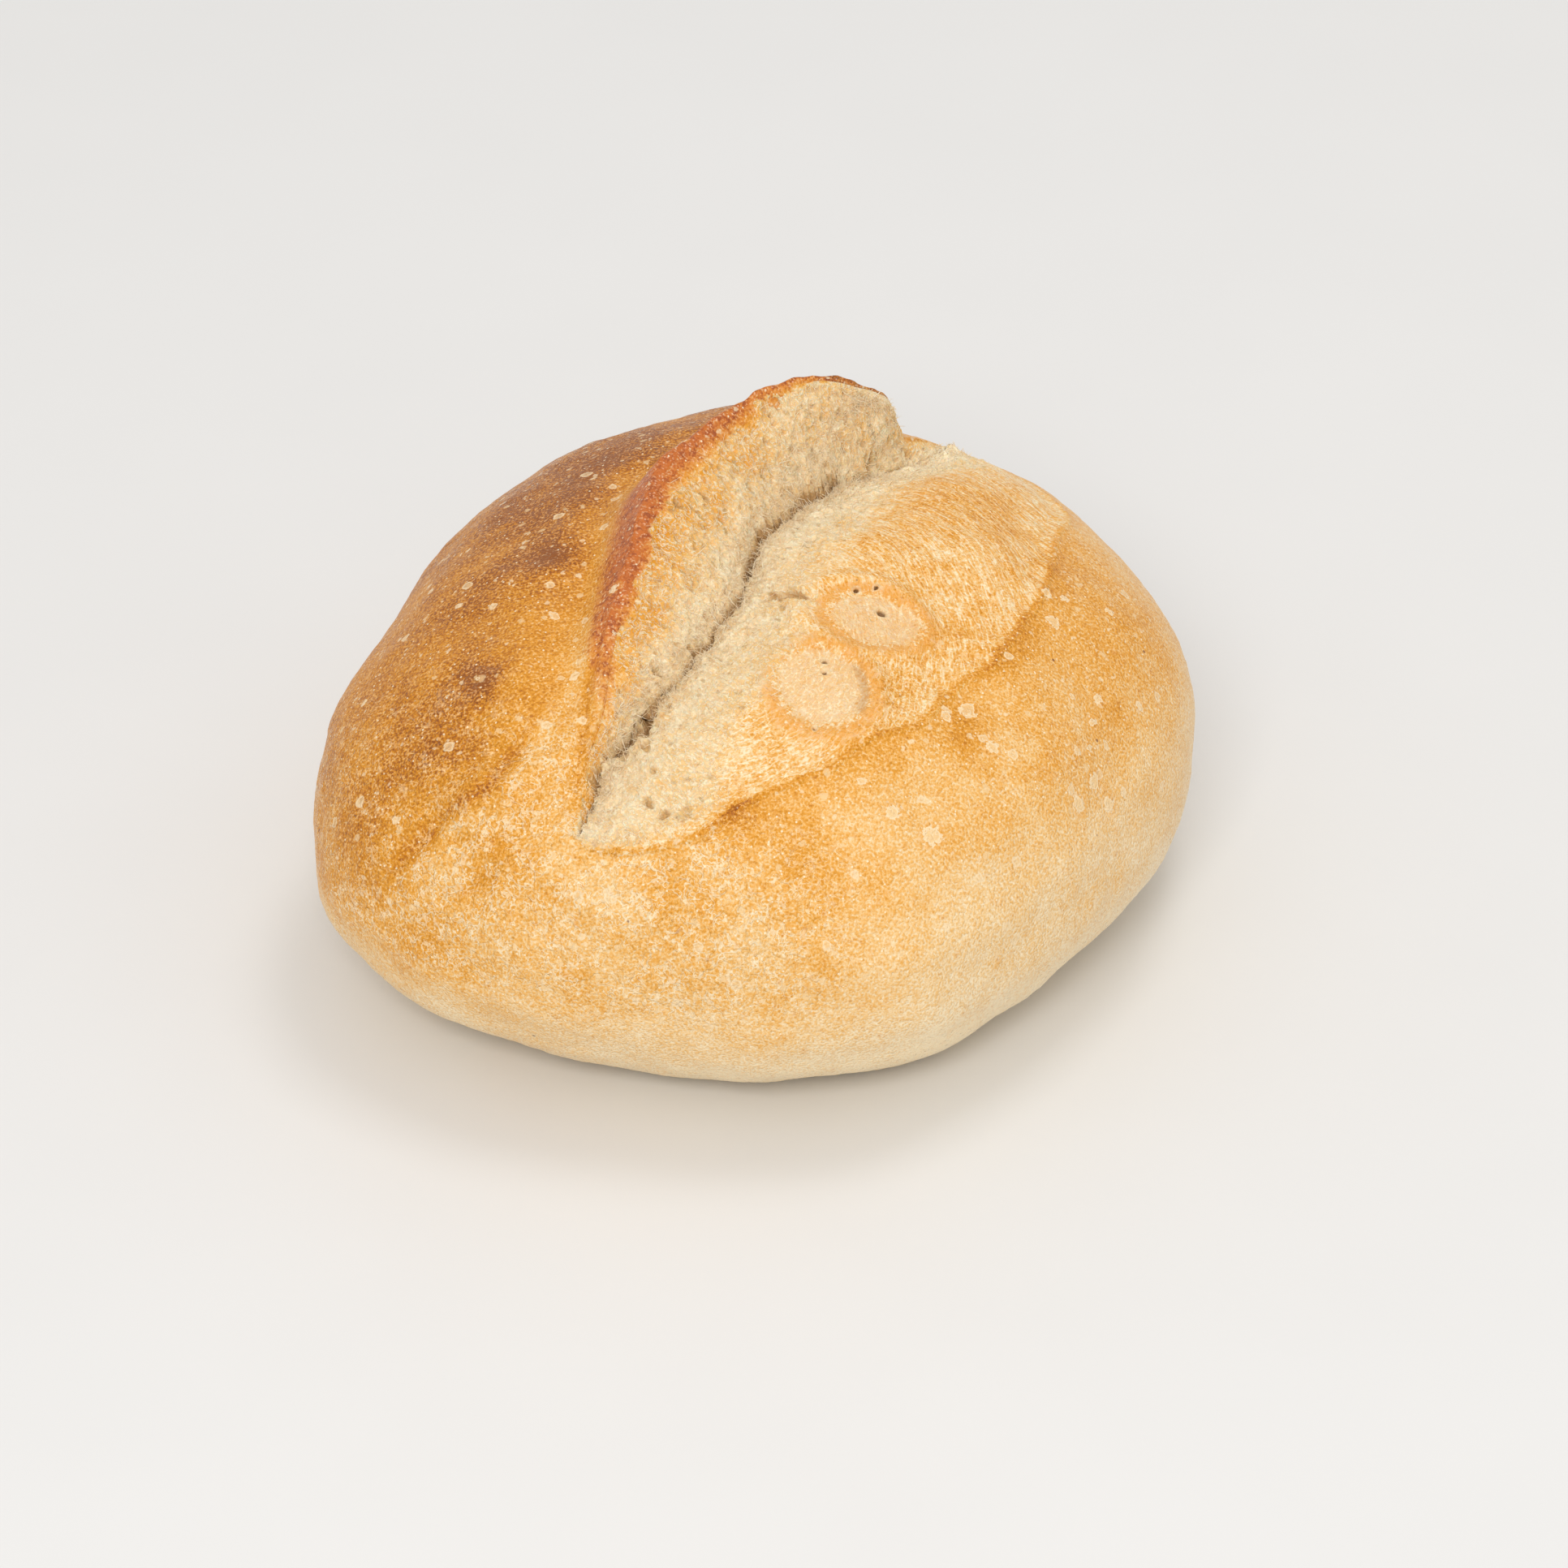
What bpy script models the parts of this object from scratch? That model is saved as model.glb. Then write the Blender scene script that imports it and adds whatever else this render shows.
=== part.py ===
"""A round hearth loaf with one long score, its raised ear and the torn crumb beside it."""

import math

import bmesh
import bpy
import numpy as np

for old in list(bpy.data.objects):
    bpy.data.objects.remove(old)

# Loaf, metres. The score runs along the loaf's long way, the +S axis below.
PLAN_RADIUS = 0.0823
WIDEST_HEIGHT = 0.030
CROWN_RISE = 0.0497
UNDERCUT_DROP = 0.042
BASE_ROUNDING = 0.004
CROWN_LEAN = 0.0038
FULLNESS = 2.2

# Plan outline: waves round the loaf, each with its share of the radius and its turn in degrees.
PLAN_WAVES = (
    (2, 0.050, 54.4),
    (3, 0.024, -21.9),
    (4, 0.0265, 19.8),
    (5, 0.012, 0.0),
)

# Score, in metres along it (S) and across it (W, to the right of the ear). Its relief fades out
# over its two ends, and over the drop down to the loaf's widest level.
SCORE_TURN = math.radians(58.0)
SCORE_FRONT = -0.0740
SCORE_BACK = 0.0710
SCORE_FRONT_FADE = 0.016
SCORE_BACK_FADE = 0.014
SCORE_DROP = 0.020
SEAM_LINE = (
    (-0.085, 0.0080),
    (-0.068, 0.0068),
    (-0.059, 0.0045),
    (-0.045, 0.0062),
    (-0.028, 0.0060),
    (-0.014, 0.0045),
    (0.000, -0.0008),
    (0.014, -0.0030),
    (0.036, -0.0028),
    (0.048, -0.0008),
    (0.058, 0.0006),
    (0.085, 0.0006),
)
SEAM_SINK = 0.0055
VALLEY_SHARE = 0.5
CRACK_DEPTH = 0.0045
CRACK_HALF_WIDTH = 0.0007

# Ear: how far its lip stands back from the seam, and how high it stands over the plain loaf.
LIP_SETBACK = (
    (-0.085, 0.0020),
    (-0.063, 0.0022),
    (-0.055, 0.0035),
    (-0.043, 0.0120),
    (-0.027, 0.0178),
    (-0.008, 0.0206),
    (0.006, 0.0170),
    (0.022, 0.0135),
    (0.037, 0.0080),
    (0.047, 0.0030),
    (0.055, 0.0024),
    (0.085, 0.0024),
)
LIP_HEIGHT = (
    (-0.085, 0.0),
    (-0.055, 0.0004),
    (-0.043, 0.0025),
    (-0.027, 0.0055),
    (-0.008, 0.0098),
    (0.006, 0.0120),
    (0.022, 0.0132),
    (0.036, 0.0152),
    (0.044, 0.0140),
    (0.049, 0.0112),
    (0.053, 0.0050),
    (0.057, 0.0008),
    (0.073, 0.0),
    (0.085, 0.0),
)
FLANK_WIDTH = 0.0060
FLANK_SPREAD = 0.8
TROUGH_SETBACK = 0.0100
TROUGH_WIDTH = 0.0090
TROUGH_DEPTH = 0.0016

# Bloom: the thin new skin right of the seam, as far as the edge of the old crust.
BLOOM_REACH = 0.0495
BLOOM_POWER = 2.4
BLOOM_SWELL = 0.0008
CRUST_STEP = 0.0013
CRUST_STEP_WIDTH = 0.0014

# Colour of the browned crust, linear.
CRUST_COLOUR = (0.68, 0.36, 0.11, 1.0)
CRUST_ROUGHNESS = 0.55

# Blisters in the bloom: centre S and W, half-length, half-width, turn in degrees.
BLISTERS = (
    (-0.0265, 0.0320, 0.0088, 0.0068, -38.0),
    (-0.0070, 0.0285, 0.0090, 0.0068, 62.0),
)
BLISTER_SINK = 0.0007
BLISTER_FLAT = 0.7
BLISTER_RIM = 0.0007
BLISTER_RIM_PLACE = 1.15
BLISTER_RIM_WIDTH = 0.35
SLOT_PLACE = (-0.0123, 0.0142)
SLOT_HALF_SIZE = (0.0052, 0.0013)
SLOT_TURN = 38.0
SLOT_DEPTH = 0.0016
SLOT_FLAT = 0.4

# Fold: a soft ridge across the lower left shoulder, from its outer to its inner end (W, S).
FOLD_LINE = ((-0.023, -0.078), (-0.013, -0.071), (-0.004, -0.065), (0.001, -0.060))
FOLD_HEIGHT = 0.0018
FOLD_WIDTH = 0.0070
FOLD_FADE = 0.010

# Shoulder: a swell of the crust behind the ear, S and W of its middle, its reach and its height.
SHOULDER_PLACE = (0.030, -0.034)
SHOULDER_REACH = 0.026
SHOULDER_HEIGHT = 0.0016

# Unevenness: size, height and seed of the swells all over the loaf and on the torn crumb, which
# reaches from the lip to a little way right of the seam and is level beside the crack.
CRUST_SWELLS = ((0.042, 0.0007, 3), (0.018, 0.0003, 5))
CRUMB_SWELLS = ((0.0110, 0.0007, 7), (0.0055, 0.0005, 9))
CRUMB_REACH = 0.012
CRUMB_FADE = 0.005
CRACK_LEVEL = 0.0025

# Mesh: rings from the front end to the back, and columns in each band round the loaf. Near both
# ends the columns draw together evenly, between these two sines of the angle from the end.
RINGS = 78
BASE_COLUMNS = 2
FOOT_COLUMNS = 9
SIDE_COLUMNS = 9
SHOULDER_COLUMNS = 5
FLANK_COLUMNS = 5
FACE_COLUMNS = 8
CRACK_COLUMNS = 2
BLOOM_COLUMNS = 14
SIDE_ANGLE = math.radians(92.0)
FOOT_ANGLE = math.radians(148.0)
EVEN_ENDS = (0.04, 0.26)
LIP_LIMIT = 0.55
TROUGH_LIMIT = 0.42
CRACK_LIMIT = 0.05
EDGE_LIMIT = 0.5

ALONG = np.array((math.cos(SCORE_TURN), math.sin(SCORE_TURN), 0.0))
ACROSS = np.array((math.sin(SCORE_TURN), -math.cos(SCORE_TURN), 0.0))
UP = np.array((0.0, 0.0, 1.0))


def ease(value):
    """Smooth step from 0 to 1 as the value goes from 0 to 1."""
    t = np.clip(value, 0.0, 1.0)
    return t * t * (3.0 - 2.0 * t)


def bump(value):
    """Smooth hump of height 1 at 0 that is gone at -1 and 1."""
    return ease(1.0 - np.abs(value))


def read_line(points, s):
    """Smooth curve through the given points, read at s."""
    x = np.array([p[0] for p in points])
    y = np.array([p[1] for p in points])
    slope = np.gradient(y, x)
    s = np.clip(s, x[0], x[-1])
    k = np.clip(np.searchsorted(x, s, side="right") - 1, 0, len(x) - 2)
    span = x[k + 1] - x[k]
    t = (s - x[k]) / span
    rise = (2.0 * t**3 - 3.0 * t**2 + 1.0) * y[k] + (3.0 * t**2 - 2.0 * t**3) * y[k + 1]
    bend = (t**3 - 2.0 * t**2 + t) * slope[k] + (t**3 - t**2) * slope[k + 1]
    return rise + bend * span


def swells(points, size, seed):
    """Gentle unevenness between about -1 and 1, with swells of the given size."""
    random = np.random.RandomState(seed)
    total = np.zeros(points.shape[:-1])
    waves = 7
    for _ in range(waves):
        direction = random.normal(size=3)
        direction *= random.uniform(0.8, 1.4) * 2.0 * math.pi / (size * np.linalg.norm(direction))
        total += np.sin(points @ direction + random.uniform(0.0, 2.0 * math.pi))
    return total / math.sqrt(waves)


def plan_radius(angle):
    """Radius of the loaf's plan outline at an angle round it."""
    share = np.ones_like(angle)
    for waves, size, turn in PLAN_WAVES:
        share += size * np.cos(waves * (angle - math.radians(turn)))
    return PLAN_RADIUS * share


def dome_point(direction):
    """Point of the plain loaf, without its score, in a direction from its centre."""
    level = np.hypot(direction[..., 0], direction[..., 1])
    radius = plan_radius(np.arctan2(direction[..., 1], direction[..., 0]))
    depth = np.where(direction[..., 2] > 0.0, CROWN_RISE, UNDERCUT_DROP)
    reach = (level / radius) ** FULLNESS + (np.abs(direction[..., 2]) / depth) ** FULLNESS
    point = direction * (reach ** (-1.0 / FULLNESS))[..., None]
    lean = CROWN_LEAN * np.maximum(point[..., 2] / CROWN_RISE, 0.0) ** 2
    return point + lean[..., None] * np.array((0.0, 1.0, 0.0))


def direction_of(end_angle, round_angle):
    """Direction from the centre: the angle from the front end, and the angle round the score's axis."""
    out = np.sin(end_angle)[..., None]
    forward = -np.cos(end_angle)[..., None] * ALONG
    right = np.sin(round_angle)[..., None] * ACROSS
    upward = np.cos(round_angle)[..., None] * UP
    return forward + out * (right + upward)


def seam_at(s):
    return read_line(SEAM_LINE, s)


def lip_at(s):
    return seam_at(s) - read_line(LIP_SETBACK, s)


def bloom_edge_at(s):
    """Right edge of the bloom, where the old crust begins."""
    reach = np.where(s < 0.0, SCORE_FRONT, SCORE_BACK)
    share = np.clip(s / reach, 0.0, 1.0) ** BLOOM_POWER
    return seam_at(s) + (BLOOM_REACH - seam_at(s)) * np.sqrt(1.0 - share)


def along_fade(s):
    """1 along the score, gone at both its ends."""
    return ease((s - SCORE_FRONT) / SCORE_FRONT_FADE) * ease((SCORE_BACK - s) / SCORE_BACK_FADE)


def ear_lift(s, w):
    """How far the ear stands up: from nothing at the seam to its lip, and down its outer flank."""
    seam = seam_at(s)
    lip = lip_at(s)
    face = np.clip((seam - w) / np.maximum(seam - lip, 1e-4), 0.0, 1.0)
    height = read_line(LIP_HEIGHT, s)
    behind = np.clip((lip - w) / (FLANK_WIDTH + FLANK_SPREAD * height), 0.0, 1.0)
    torn_face = 1.2 * face - 0.2 * face**3
    flank = (1.0 - behind) ** 2 * (1.0 + 0.5 * behind)
    return height * np.where(w > lip, torn_face, flank)


def score_relief(s, w):
    """Sunken valley along the seam with its crack, and the trough behind the ear."""
    seam = seam_at(s)
    lip = lip_at(s)
    left = (seam - w) / np.maximum(seam - lip, 1e-4)
    right = (w - seam) / np.maximum(VALLEY_SHARE * (bloom_edge_at(s) - seam), 1e-4)
    valley = 1.0 - np.where(w > seam, ease(right), np.clip(left, 0.0, 1.0))
    crack = np.clip(1.0 - np.abs(w - seam) / CRACK_HALF_WIDTH, 0.0, 1.0)
    trough = bump((lip - TROUGH_SETBACK - w) / TROUGH_WIDTH)
    return -along_fade(s) * (SEAM_SINK * valley + CRACK_DEPTH * crack + TROUGH_DEPTH * trough)


def bloom_relief(s, w):
    """Swell of the bloom, the step up to the old crust, the blisters and the slot."""
    seam = seam_at(s)
    edge = bloom_edge_at(s)
    middle = np.clip((w - seam) / np.maximum(edge - seam, 1e-4), 0.0, 1.0)
    inside = ease((edge - w) / CRUST_STEP_WIDTH) * (w > seam) * along_fade(s)
    relief = inside * (BLOOM_SWELL * np.sin(math.pi * middle) - CRUST_STEP)
    for s_mid, w_mid, length, width, turn in BLISTERS:
        reach = oval(s - s_mid, w - w_mid, length, width, turn)
        relief += BLISTER_RIM * bump((reach - BLISTER_RIM_PLACE) / BLISTER_RIM_WIDTH)
        relief -= BLISTER_SINK * (1.0 - ease((reach - BLISTER_FLAT) / BLISTER_RIM_WIDTH))
    reach = oval(s - SLOT_PLACE[0], w - SLOT_PLACE[1], *SLOT_HALF_SIZE, SLOT_TURN)
    return relief - SLOT_DEPTH * (1.0 - ease(reach - SLOT_FLAT))


def oval(s, w, length, width, turn):
    """Distance from an oval's middle, 1 on its outline; the turn is from S towards W, in degrees."""
    angle = math.radians(turn)
    lengthwise = s * math.cos(angle) + w * math.sin(angle)
    crosswise = w * math.cos(angle) - s * math.sin(angle)
    return np.hypot(lengthwise / length, crosswise / width)


def fold_relief(s, w):
    """Soft ridge over the lower left shoulder."""
    offset = (s - read_line(FOLD_LINE, w)) / FOLD_WIDTH
    ends = ease((w - FOLD_LINE[0][0]) / FOLD_FADE) * ease((FOLD_LINE[-1][0] - w) / FOLD_FADE)
    return FOLD_HEIGHT * ends * bump(offset)


def shoulder_relief(s, w):
    """Swell of the crust left of the ear."""
    return SHOULDER_HEIGHT * bump(np.hypot(s - SHOULDER_PLACE[0], w - SHOULDER_PLACE[1]) / SHOULDER_REACH)


def shape(direction):
    """Finished surface in a direction from the loaf's centre."""
    point = dome_point(direction)
    s = point @ ALONG
    w = point @ ACROSS
    on_top = ease(point[..., 2] / SCORE_DROP)
    relief = on_top * (score_relief(s, w) + bloom_relief(s, w) + fold_relief(s, w) + shoulder_relief(s, w))
    for size, height, seed in CRUST_SWELLS:
        relief += height * swells(point, size, seed)
    torn = ease((w - lip_at(s)) / CRUMB_FADE) * ease((seam_at(s) + CRUMB_REACH - w) / CRUMB_FADE)
    torn *= on_top * along_fade(s) * ease(np.abs(w - seam_at(s)) / CRACK_LEVEL)
    for size, height, seed in CRUMB_SWELLS:
        relief += torn * height * swells(point, size, seed)
    point = point + relief[..., None] * direction + (on_top * ear_lift(s, w))[..., None] * UP
    height = point[..., 2] + WIDEST_HEIGHT
    settled = (height + BASE_ROUNDING) ** 2 / (4.0 * BASE_ROUNDING)
    height = np.where(height > BASE_ROUNDING, height, np.where(height > -BASE_ROUNDING, settled, 0.0))
    return np.concatenate((point[..., :2], height[..., None]), axis=-1)


def column_angle(end_angle, line):
    """Angle round the axis at which each ring crosses a line drawn across the score."""
    angle = np.full_like(end_angle, 0.1)
    for _ in range(12):
        point = dome_point(direction_of(end_angle, angle))
        angle = np.arctan2(line(point @ ALONG), point[..., 2])
    return angle


def column_angles(end_angle):
    """Angles of all columns in every ring, closest together at the lip and the seam."""
    seam = column_angle(end_angle, seam_at)
    reach = np.linalg.norm(dome_point(direction_of(end_angle, seam)), axis=-1) * np.sin(end_angle)
    lip = np.maximum(column_angle(end_angle, lip_at), seam - LIP_LIMIT)
    crack = np.minimum(1.1 * CRACK_HALF_WIDTH / reach, CRACK_LIMIT)
    flank = lip - np.minimum(TROUGH_SETBACK / reach, TROUGH_LIMIT)
    shoulder = flank - np.minimum(TROUGH_WIDTH / reach, TROUGH_LIMIT)
    edge = np.maximum(column_angle(end_angle, bloom_edge_at), seam + EDGE_LIMIT)
    step = 0.5 * CRUST_STEP_WIDTH / reach
    below = np.full_like(end_angle, math.pi)
    foot = np.full_like(end_angle, FOOT_ANGLE)
    side = np.full_like(end_angle, SIDE_ANGLE)
    stops = (
        (-below, BASE_COLUMNS),
        (-foot, FOOT_COLUMNS),
        (-side, SIDE_COLUMNS),
        (shoulder, SHOULDER_COLUMNS),
        (flank, FLANK_COLUMNS),
        (lip, FACE_COLUMNS),
        (seam - crack, CRACK_COLUMNS),
        (seam + crack, BLOOM_COLUMNS),
        (edge - step, 1),
        (edge + step, SIDE_COLUMNS),
        (side, FOOT_COLUMNS),
        (foot, BASE_COLUMNS),
        (below, 0),
    )
    columns = []
    for (start, count), (stop, _) in zip(stops, stops[1:]):
        for k in range(count):
            columns.append(start + (stop - start) * k / count)
    angles = np.stack(columns, axis=-1)
    even = np.linspace(-math.pi, math.pi, len(columns), endpoint=False)
    gather = ease((np.sin(end_angle) - EVEN_ENDS[0]) / (EVEN_ENDS[1] - EVEN_ENDS[0]))[:, None]
    return even + (angles - even) * gather


def loaf_points():
    """Rings of points from the front end of the loaf to its back end, and the two end points."""
    end_angle = math.pi * np.arange(1, RINGS + 1) / (RINGS + 1)
    angles = column_angles(end_angle)
    rings = shape(direction_of(np.broadcast_to(end_angle[:, None], angles.shape), angles))
    ends = shape(direction_of(np.array((0.0, math.pi)), np.zeros(2)))
    return rings, ends


def crust_material():
    material = bpy.data.materials.new("browned_crust")
    material.use_nodes = True
    surface = material.node_tree.nodes["Principled BSDF"]
    surface.inputs["Base Color"].default_value = CRUST_COLOUR
    surface.inputs["Roughness"].default_value = CRUST_ROUGHNESS
    surface.inputs["Metallic"].default_value = 0.0
    return material


def make_loaf():
    """One closed skin: the rings joined by four-sided faces, with a fan at each end."""
    rings, ends = loaf_points()
    lowest = np.minimum(rings.min(axis=(0, 1)), ends.min(axis=0))
    highest = np.maximum(rings.max(axis=(0, 1)), ends.max(axis=0))
    middle = (lowest + highest) / 2.0
    stand = np.array((middle[0], middle[1], lowest[2]))
    mesh = bpy.data.meshes.new("loaf")
    skin = bmesh.new()
    loops = [[skin.verts.new(point - stand) for point in ring] for ring in rings]
    front = skin.verts.new(ends[0] - stand)
    back = skin.verts.new(ends[1] - stand)
    columns = len(loops[0])
    for k in range(columns):
        after = (k + 1) % columns
        skin.faces.new((front, loops[0][after], loops[0][k]))
        skin.faces.new((back, loops[-1][k], loops[-1][after]))
        for ring, following in zip(loops, loops[1:]):
            skin.faces.new((ring[k], ring[after], following[after], following[k]))
    bmesh.ops.triangulate(skin, faces=skin.faces[:], quad_method="SHORT_EDGE")
    bmesh.ops.recalc_face_normals(skin, faces=skin.faces[:])
    skin.to_mesh(mesh)
    skin.free()
    mesh.shade_smooth()
    mesh.materials.append(crust_material())
    loaf = bpy.data.objects.new("loaf", mesh)
    bpy.context.scene.collection.objects.link(loaf)


make_loaf()
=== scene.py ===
import math

import bpy
import numpy as np
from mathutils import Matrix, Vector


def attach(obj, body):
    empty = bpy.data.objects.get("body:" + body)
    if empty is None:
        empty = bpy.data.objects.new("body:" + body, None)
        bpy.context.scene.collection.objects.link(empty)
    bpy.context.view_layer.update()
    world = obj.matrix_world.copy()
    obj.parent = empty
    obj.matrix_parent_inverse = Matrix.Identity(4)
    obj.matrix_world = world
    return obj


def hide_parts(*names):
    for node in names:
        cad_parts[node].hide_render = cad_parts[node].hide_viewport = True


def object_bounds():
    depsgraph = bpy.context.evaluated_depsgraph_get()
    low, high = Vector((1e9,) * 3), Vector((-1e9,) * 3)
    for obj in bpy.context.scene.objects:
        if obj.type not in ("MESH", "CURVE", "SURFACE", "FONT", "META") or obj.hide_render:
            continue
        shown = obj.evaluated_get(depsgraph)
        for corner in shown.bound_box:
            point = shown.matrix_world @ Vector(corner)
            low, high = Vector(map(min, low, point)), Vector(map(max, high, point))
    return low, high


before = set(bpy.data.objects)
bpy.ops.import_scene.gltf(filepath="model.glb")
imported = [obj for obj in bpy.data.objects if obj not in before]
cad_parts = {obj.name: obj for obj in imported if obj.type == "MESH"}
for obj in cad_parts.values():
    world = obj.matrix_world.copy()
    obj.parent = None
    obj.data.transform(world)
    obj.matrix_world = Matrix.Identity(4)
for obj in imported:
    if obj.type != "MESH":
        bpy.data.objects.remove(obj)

cadLow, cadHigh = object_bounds()
print("frame loaded")

# The plain loaf, in metres. The score runs along the loaf's long way (s), and w is across it,
# to the right of the ear.
form = {
    "planRadius": 0.0823,
    "widestHeight": 0.030,
    "crownRise": 0.0497,
    "undercutDrop": 0.042,
    "baseRounding": 0.004,
    "crownLean": 0.0038,
    "fullness": 2.2,
    "planWaves": ((2, 0.050, 54.4), (3, 0.024, -21.9), (4, 0.0265, 19.8), (5, 0.012, 0.0)),
    "swells": ((0.042, 0.0007, 3), (0.018, 0.0003, 5)),
}
leanWay = np.array((0.0, 1.0, 0.0))

# The score: its seam, how far it sinks and where it fades out.
score = {
    "turn": 58.0,
    "front": -0.0740,
    "back": 0.0710,
    "frontFade": 0.016,
    "backFade": 0.014,
    "drop": 0.020,
    "seam": (
        (-0.085, 0.0080), (-0.068, 0.0068), (-0.059, 0.0045), (-0.045, 0.0062), (-0.028, 0.0060),
        (-0.014, 0.0045), (0.000, -0.0008), (0.014, -0.0030), (0.036, -0.0028), (0.048, -0.0008),
        (0.058, 0.0006), (0.085, 0.0006),
    ),
    "seamSink": 0.0055,
    "valleyShare": 0.5,
    "troughSetback": 0.0100,
    "troughWidth": 0.0090,
    "troughDepth": 0.0016,
}

# The ear: how far its lip stands back from the seam, and how high it stands over the plain loaf.
ear = {
    "setback": (
        (-0.085, 0.0020), (-0.063, 0.0022), (-0.055, 0.0035), (-0.043, 0.0120), (-0.027, 0.0178),
        (-0.008, 0.0206), (0.006, 0.0170), (0.022, 0.0135), (0.037, 0.0080), (0.047, 0.0030),
        (0.055, 0.0024), (0.085, 0.0024),
    ),
    "height": (
        (-0.085, 0.0), (-0.055, 0.0004), (-0.043, 0.0025), (-0.027, 0.0055), (-0.008, 0.0098),
        (0.006, 0.0120), (0.022, 0.0132), (0.036, 0.0152), (0.044, 0.0144), (0.0495, 0.0124),
        (0.0528, 0.0098), (0.0548, 0.0052), (0.0568, 0.0008), (0.060, 0.0), (0.085, 0.0),
    ),
    "flankWidth": 0.0060,
    "flankSpread": 0.8,
    # the browned band along the lip: how strong it is, and how far it reaches out and in
    "crest": (
        (-0.085, 0.0), (-0.058, 0.05), (-0.048, 0.35), (-0.038, 0.85), (-0.028, 1.0), (0.004, 1.0),
        (0.016, 0.80), (0.030, 0.62), (0.048, 0.55), (0.056, 0.3), (0.064, 0.0), (0.085, 0.0),
    ),
    "crestOuter": (
        (-0.085, 0.0018), (-0.045, 0.0030), (-0.020, 0.0062), (0.010, 0.0058), (0.030, 0.0036),
        (0.048, 0.0019), (0.085, 0.0016),
    ),
    "crestInner": (
        (-0.085, 0.0008), (-0.045, 0.0024), (-0.020, 0.0040), (0.010, 0.0040), (0.026, 0.0026),
        (0.038, 0.0008), (0.085, 0.0006),
    ),
    "crestLeast": 0.0005,
}

# The bloom: new skin between the seam and the edge of the old crust, with two flat blisters.
bloom = {
    "edge": (
        (-0.0850, 0.0080), (-0.0735, 0.0088), (-0.0723, 0.0104), (-0.0687, 0.0180), (-0.0644, 0.0238),
        (-0.0599, 0.0277), (-0.0547, 0.0309), (-0.0411, 0.0400), (-0.0262, 0.0463), (-0.0095, 0.0500),
        (0.0080, 0.0496), (0.0220, 0.0475), (0.0374, 0.0428), (0.0520, 0.0350), (0.0630, 0.0245),
        (0.0700, 0.0130), (0.0720, 0.0070), (0.0850, 0.0060),
    ),
    "swell": 0.0008,
    "step": 0.0007,
    "stepWidth": 0.0024,
    "edgeWander": ((0.011, 0.0011, 33), (0.0037, 0.00055, 34)),
    "steadyUntil": (-0.068, -0.058),
    "blisters": ((-0.0272, 0.0316, 0.0096, 0.0091, -38.0), (-0.0076, 0.0281, 0.0107, 0.0084, 71.0)),
    "windows": ((-0.0274, 0.0314, 0.0092, 0.0087, -38.0), (-0.0066, 0.0305, 0.0092, 0.0068, 66.0)),
    "blisterSink": 0.0007,
    "blisterFlat": 0.7,
    "rimHeight": 0.0008,
    "rimPlace": 1.15,
    "rimWidth": 0.35,
    "slot": (-0.0105, 0.0140, 0.0052, 0.0013, 80.0),
    "slotDepth": 0.0016,
    "slotFlat": 0.4,
    # grey crescent in the near blister: which way (s, w), how far out, width, how much of the side
    "shade": ((0.555, 0.832), 0.93, 0.11, (0.60, 0.90)),
    # how much paler its skin is, and the spans (s, w past the edge) over which that comes in
    "paler": (
        (0.04, None, None),
        (0.01, (0.0, 0.030), None),
        (0.05, (-0.030, -0.050), None),
        (0.06, (-0.030, -0.010), (-0.0110, -0.0020)),
    ),
    # browner lines along the edge: amount, how far past it, width, span in s
    "edgeLines": ((0.12, 0.0005, 0.0007, (0.045, 0.025)), (0.06, 0.0020, 0.0024, (-0.060, -0.040))),
    "paleByCrumb": (0.06, 0.0060),
    "skinWidth": 0.002,
}

# Soft ridge over the lower left shoulder (w, s), and the swell of crust behind the ear.
fold = {
    "line": ((-0.023, -0.078), (-0.013, -0.071), (-0.004, -0.065), (0.001, -0.060)),
    "height": 0.0018,
    "width": 0.0070,
    "fade": 0.010,
}
shoulder = {"place": (0.030, -0.034), "reach": 0.026, "height": 0.0016}

turn = math.radians(score["turn"])
along = np.array((math.cos(turn), math.sin(turn), 0.0))
across = np.array((math.sin(turn), -math.cos(turn), 0.0))
upward = np.array((0.0, 0.0, 1.0))


def ease(value):
    t = np.clip(value, 0.0, 1.0)
    return t * t * (3.0 - 2.0 * t)


def hump(value):
    return ease(1.0 - np.abs(value))


def bell(value):
    return np.exp(-(value**2))


def within(spans, *places):
    # 1 where every place is past its span (nothing, full), fading to 0 over each span
    share = 1.0
    for span, place in zip(spans, places):
        if span:
            share = share * ease((place - span[0]) / (span[1] - span[0]))
    return share


def readLine(points, s):
    # smooth curve through the given points, read at s
    x = np.array([p[0] for p in points])
    y = np.array([p[1] for p in points])
    slope = np.gradient(y, x)
    s = np.clip(s, x[0], x[-1])
    k = np.clip(np.searchsorted(x, s, side="right") - 1, 0, len(x) - 2)
    span = x[k + 1] - x[k]
    t = (s - x[k]) / span
    rise = (2.0 * t**3 - 3.0 * t**2 + 1.0) * y[k] + (3.0 * t**2 - 2.0 * t**3) * y[k + 1]
    bend = (t**3 - 2.0 * t**2 + t) * slope[k] + (t**3 - t**2) * slope[k + 1]
    return rise + bend * span


def swells(points, size, seed):
    # the same gentle unevenness as the frame's loaf
    random = np.random.RandomState(seed)
    total = np.zeros(points.shape[:-1])
    waves = 7
    for _ in range(waves):
        direction = random.normal(size=3)
        direction *= random.uniform(0.8, 1.4) * 2.0 * math.pi / (size * np.linalg.norm(direction))
        total += np.sin(points @ direction + random.uniform(0.0, 2.0 * math.pi))
    return total / math.sqrt(waves)


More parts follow.
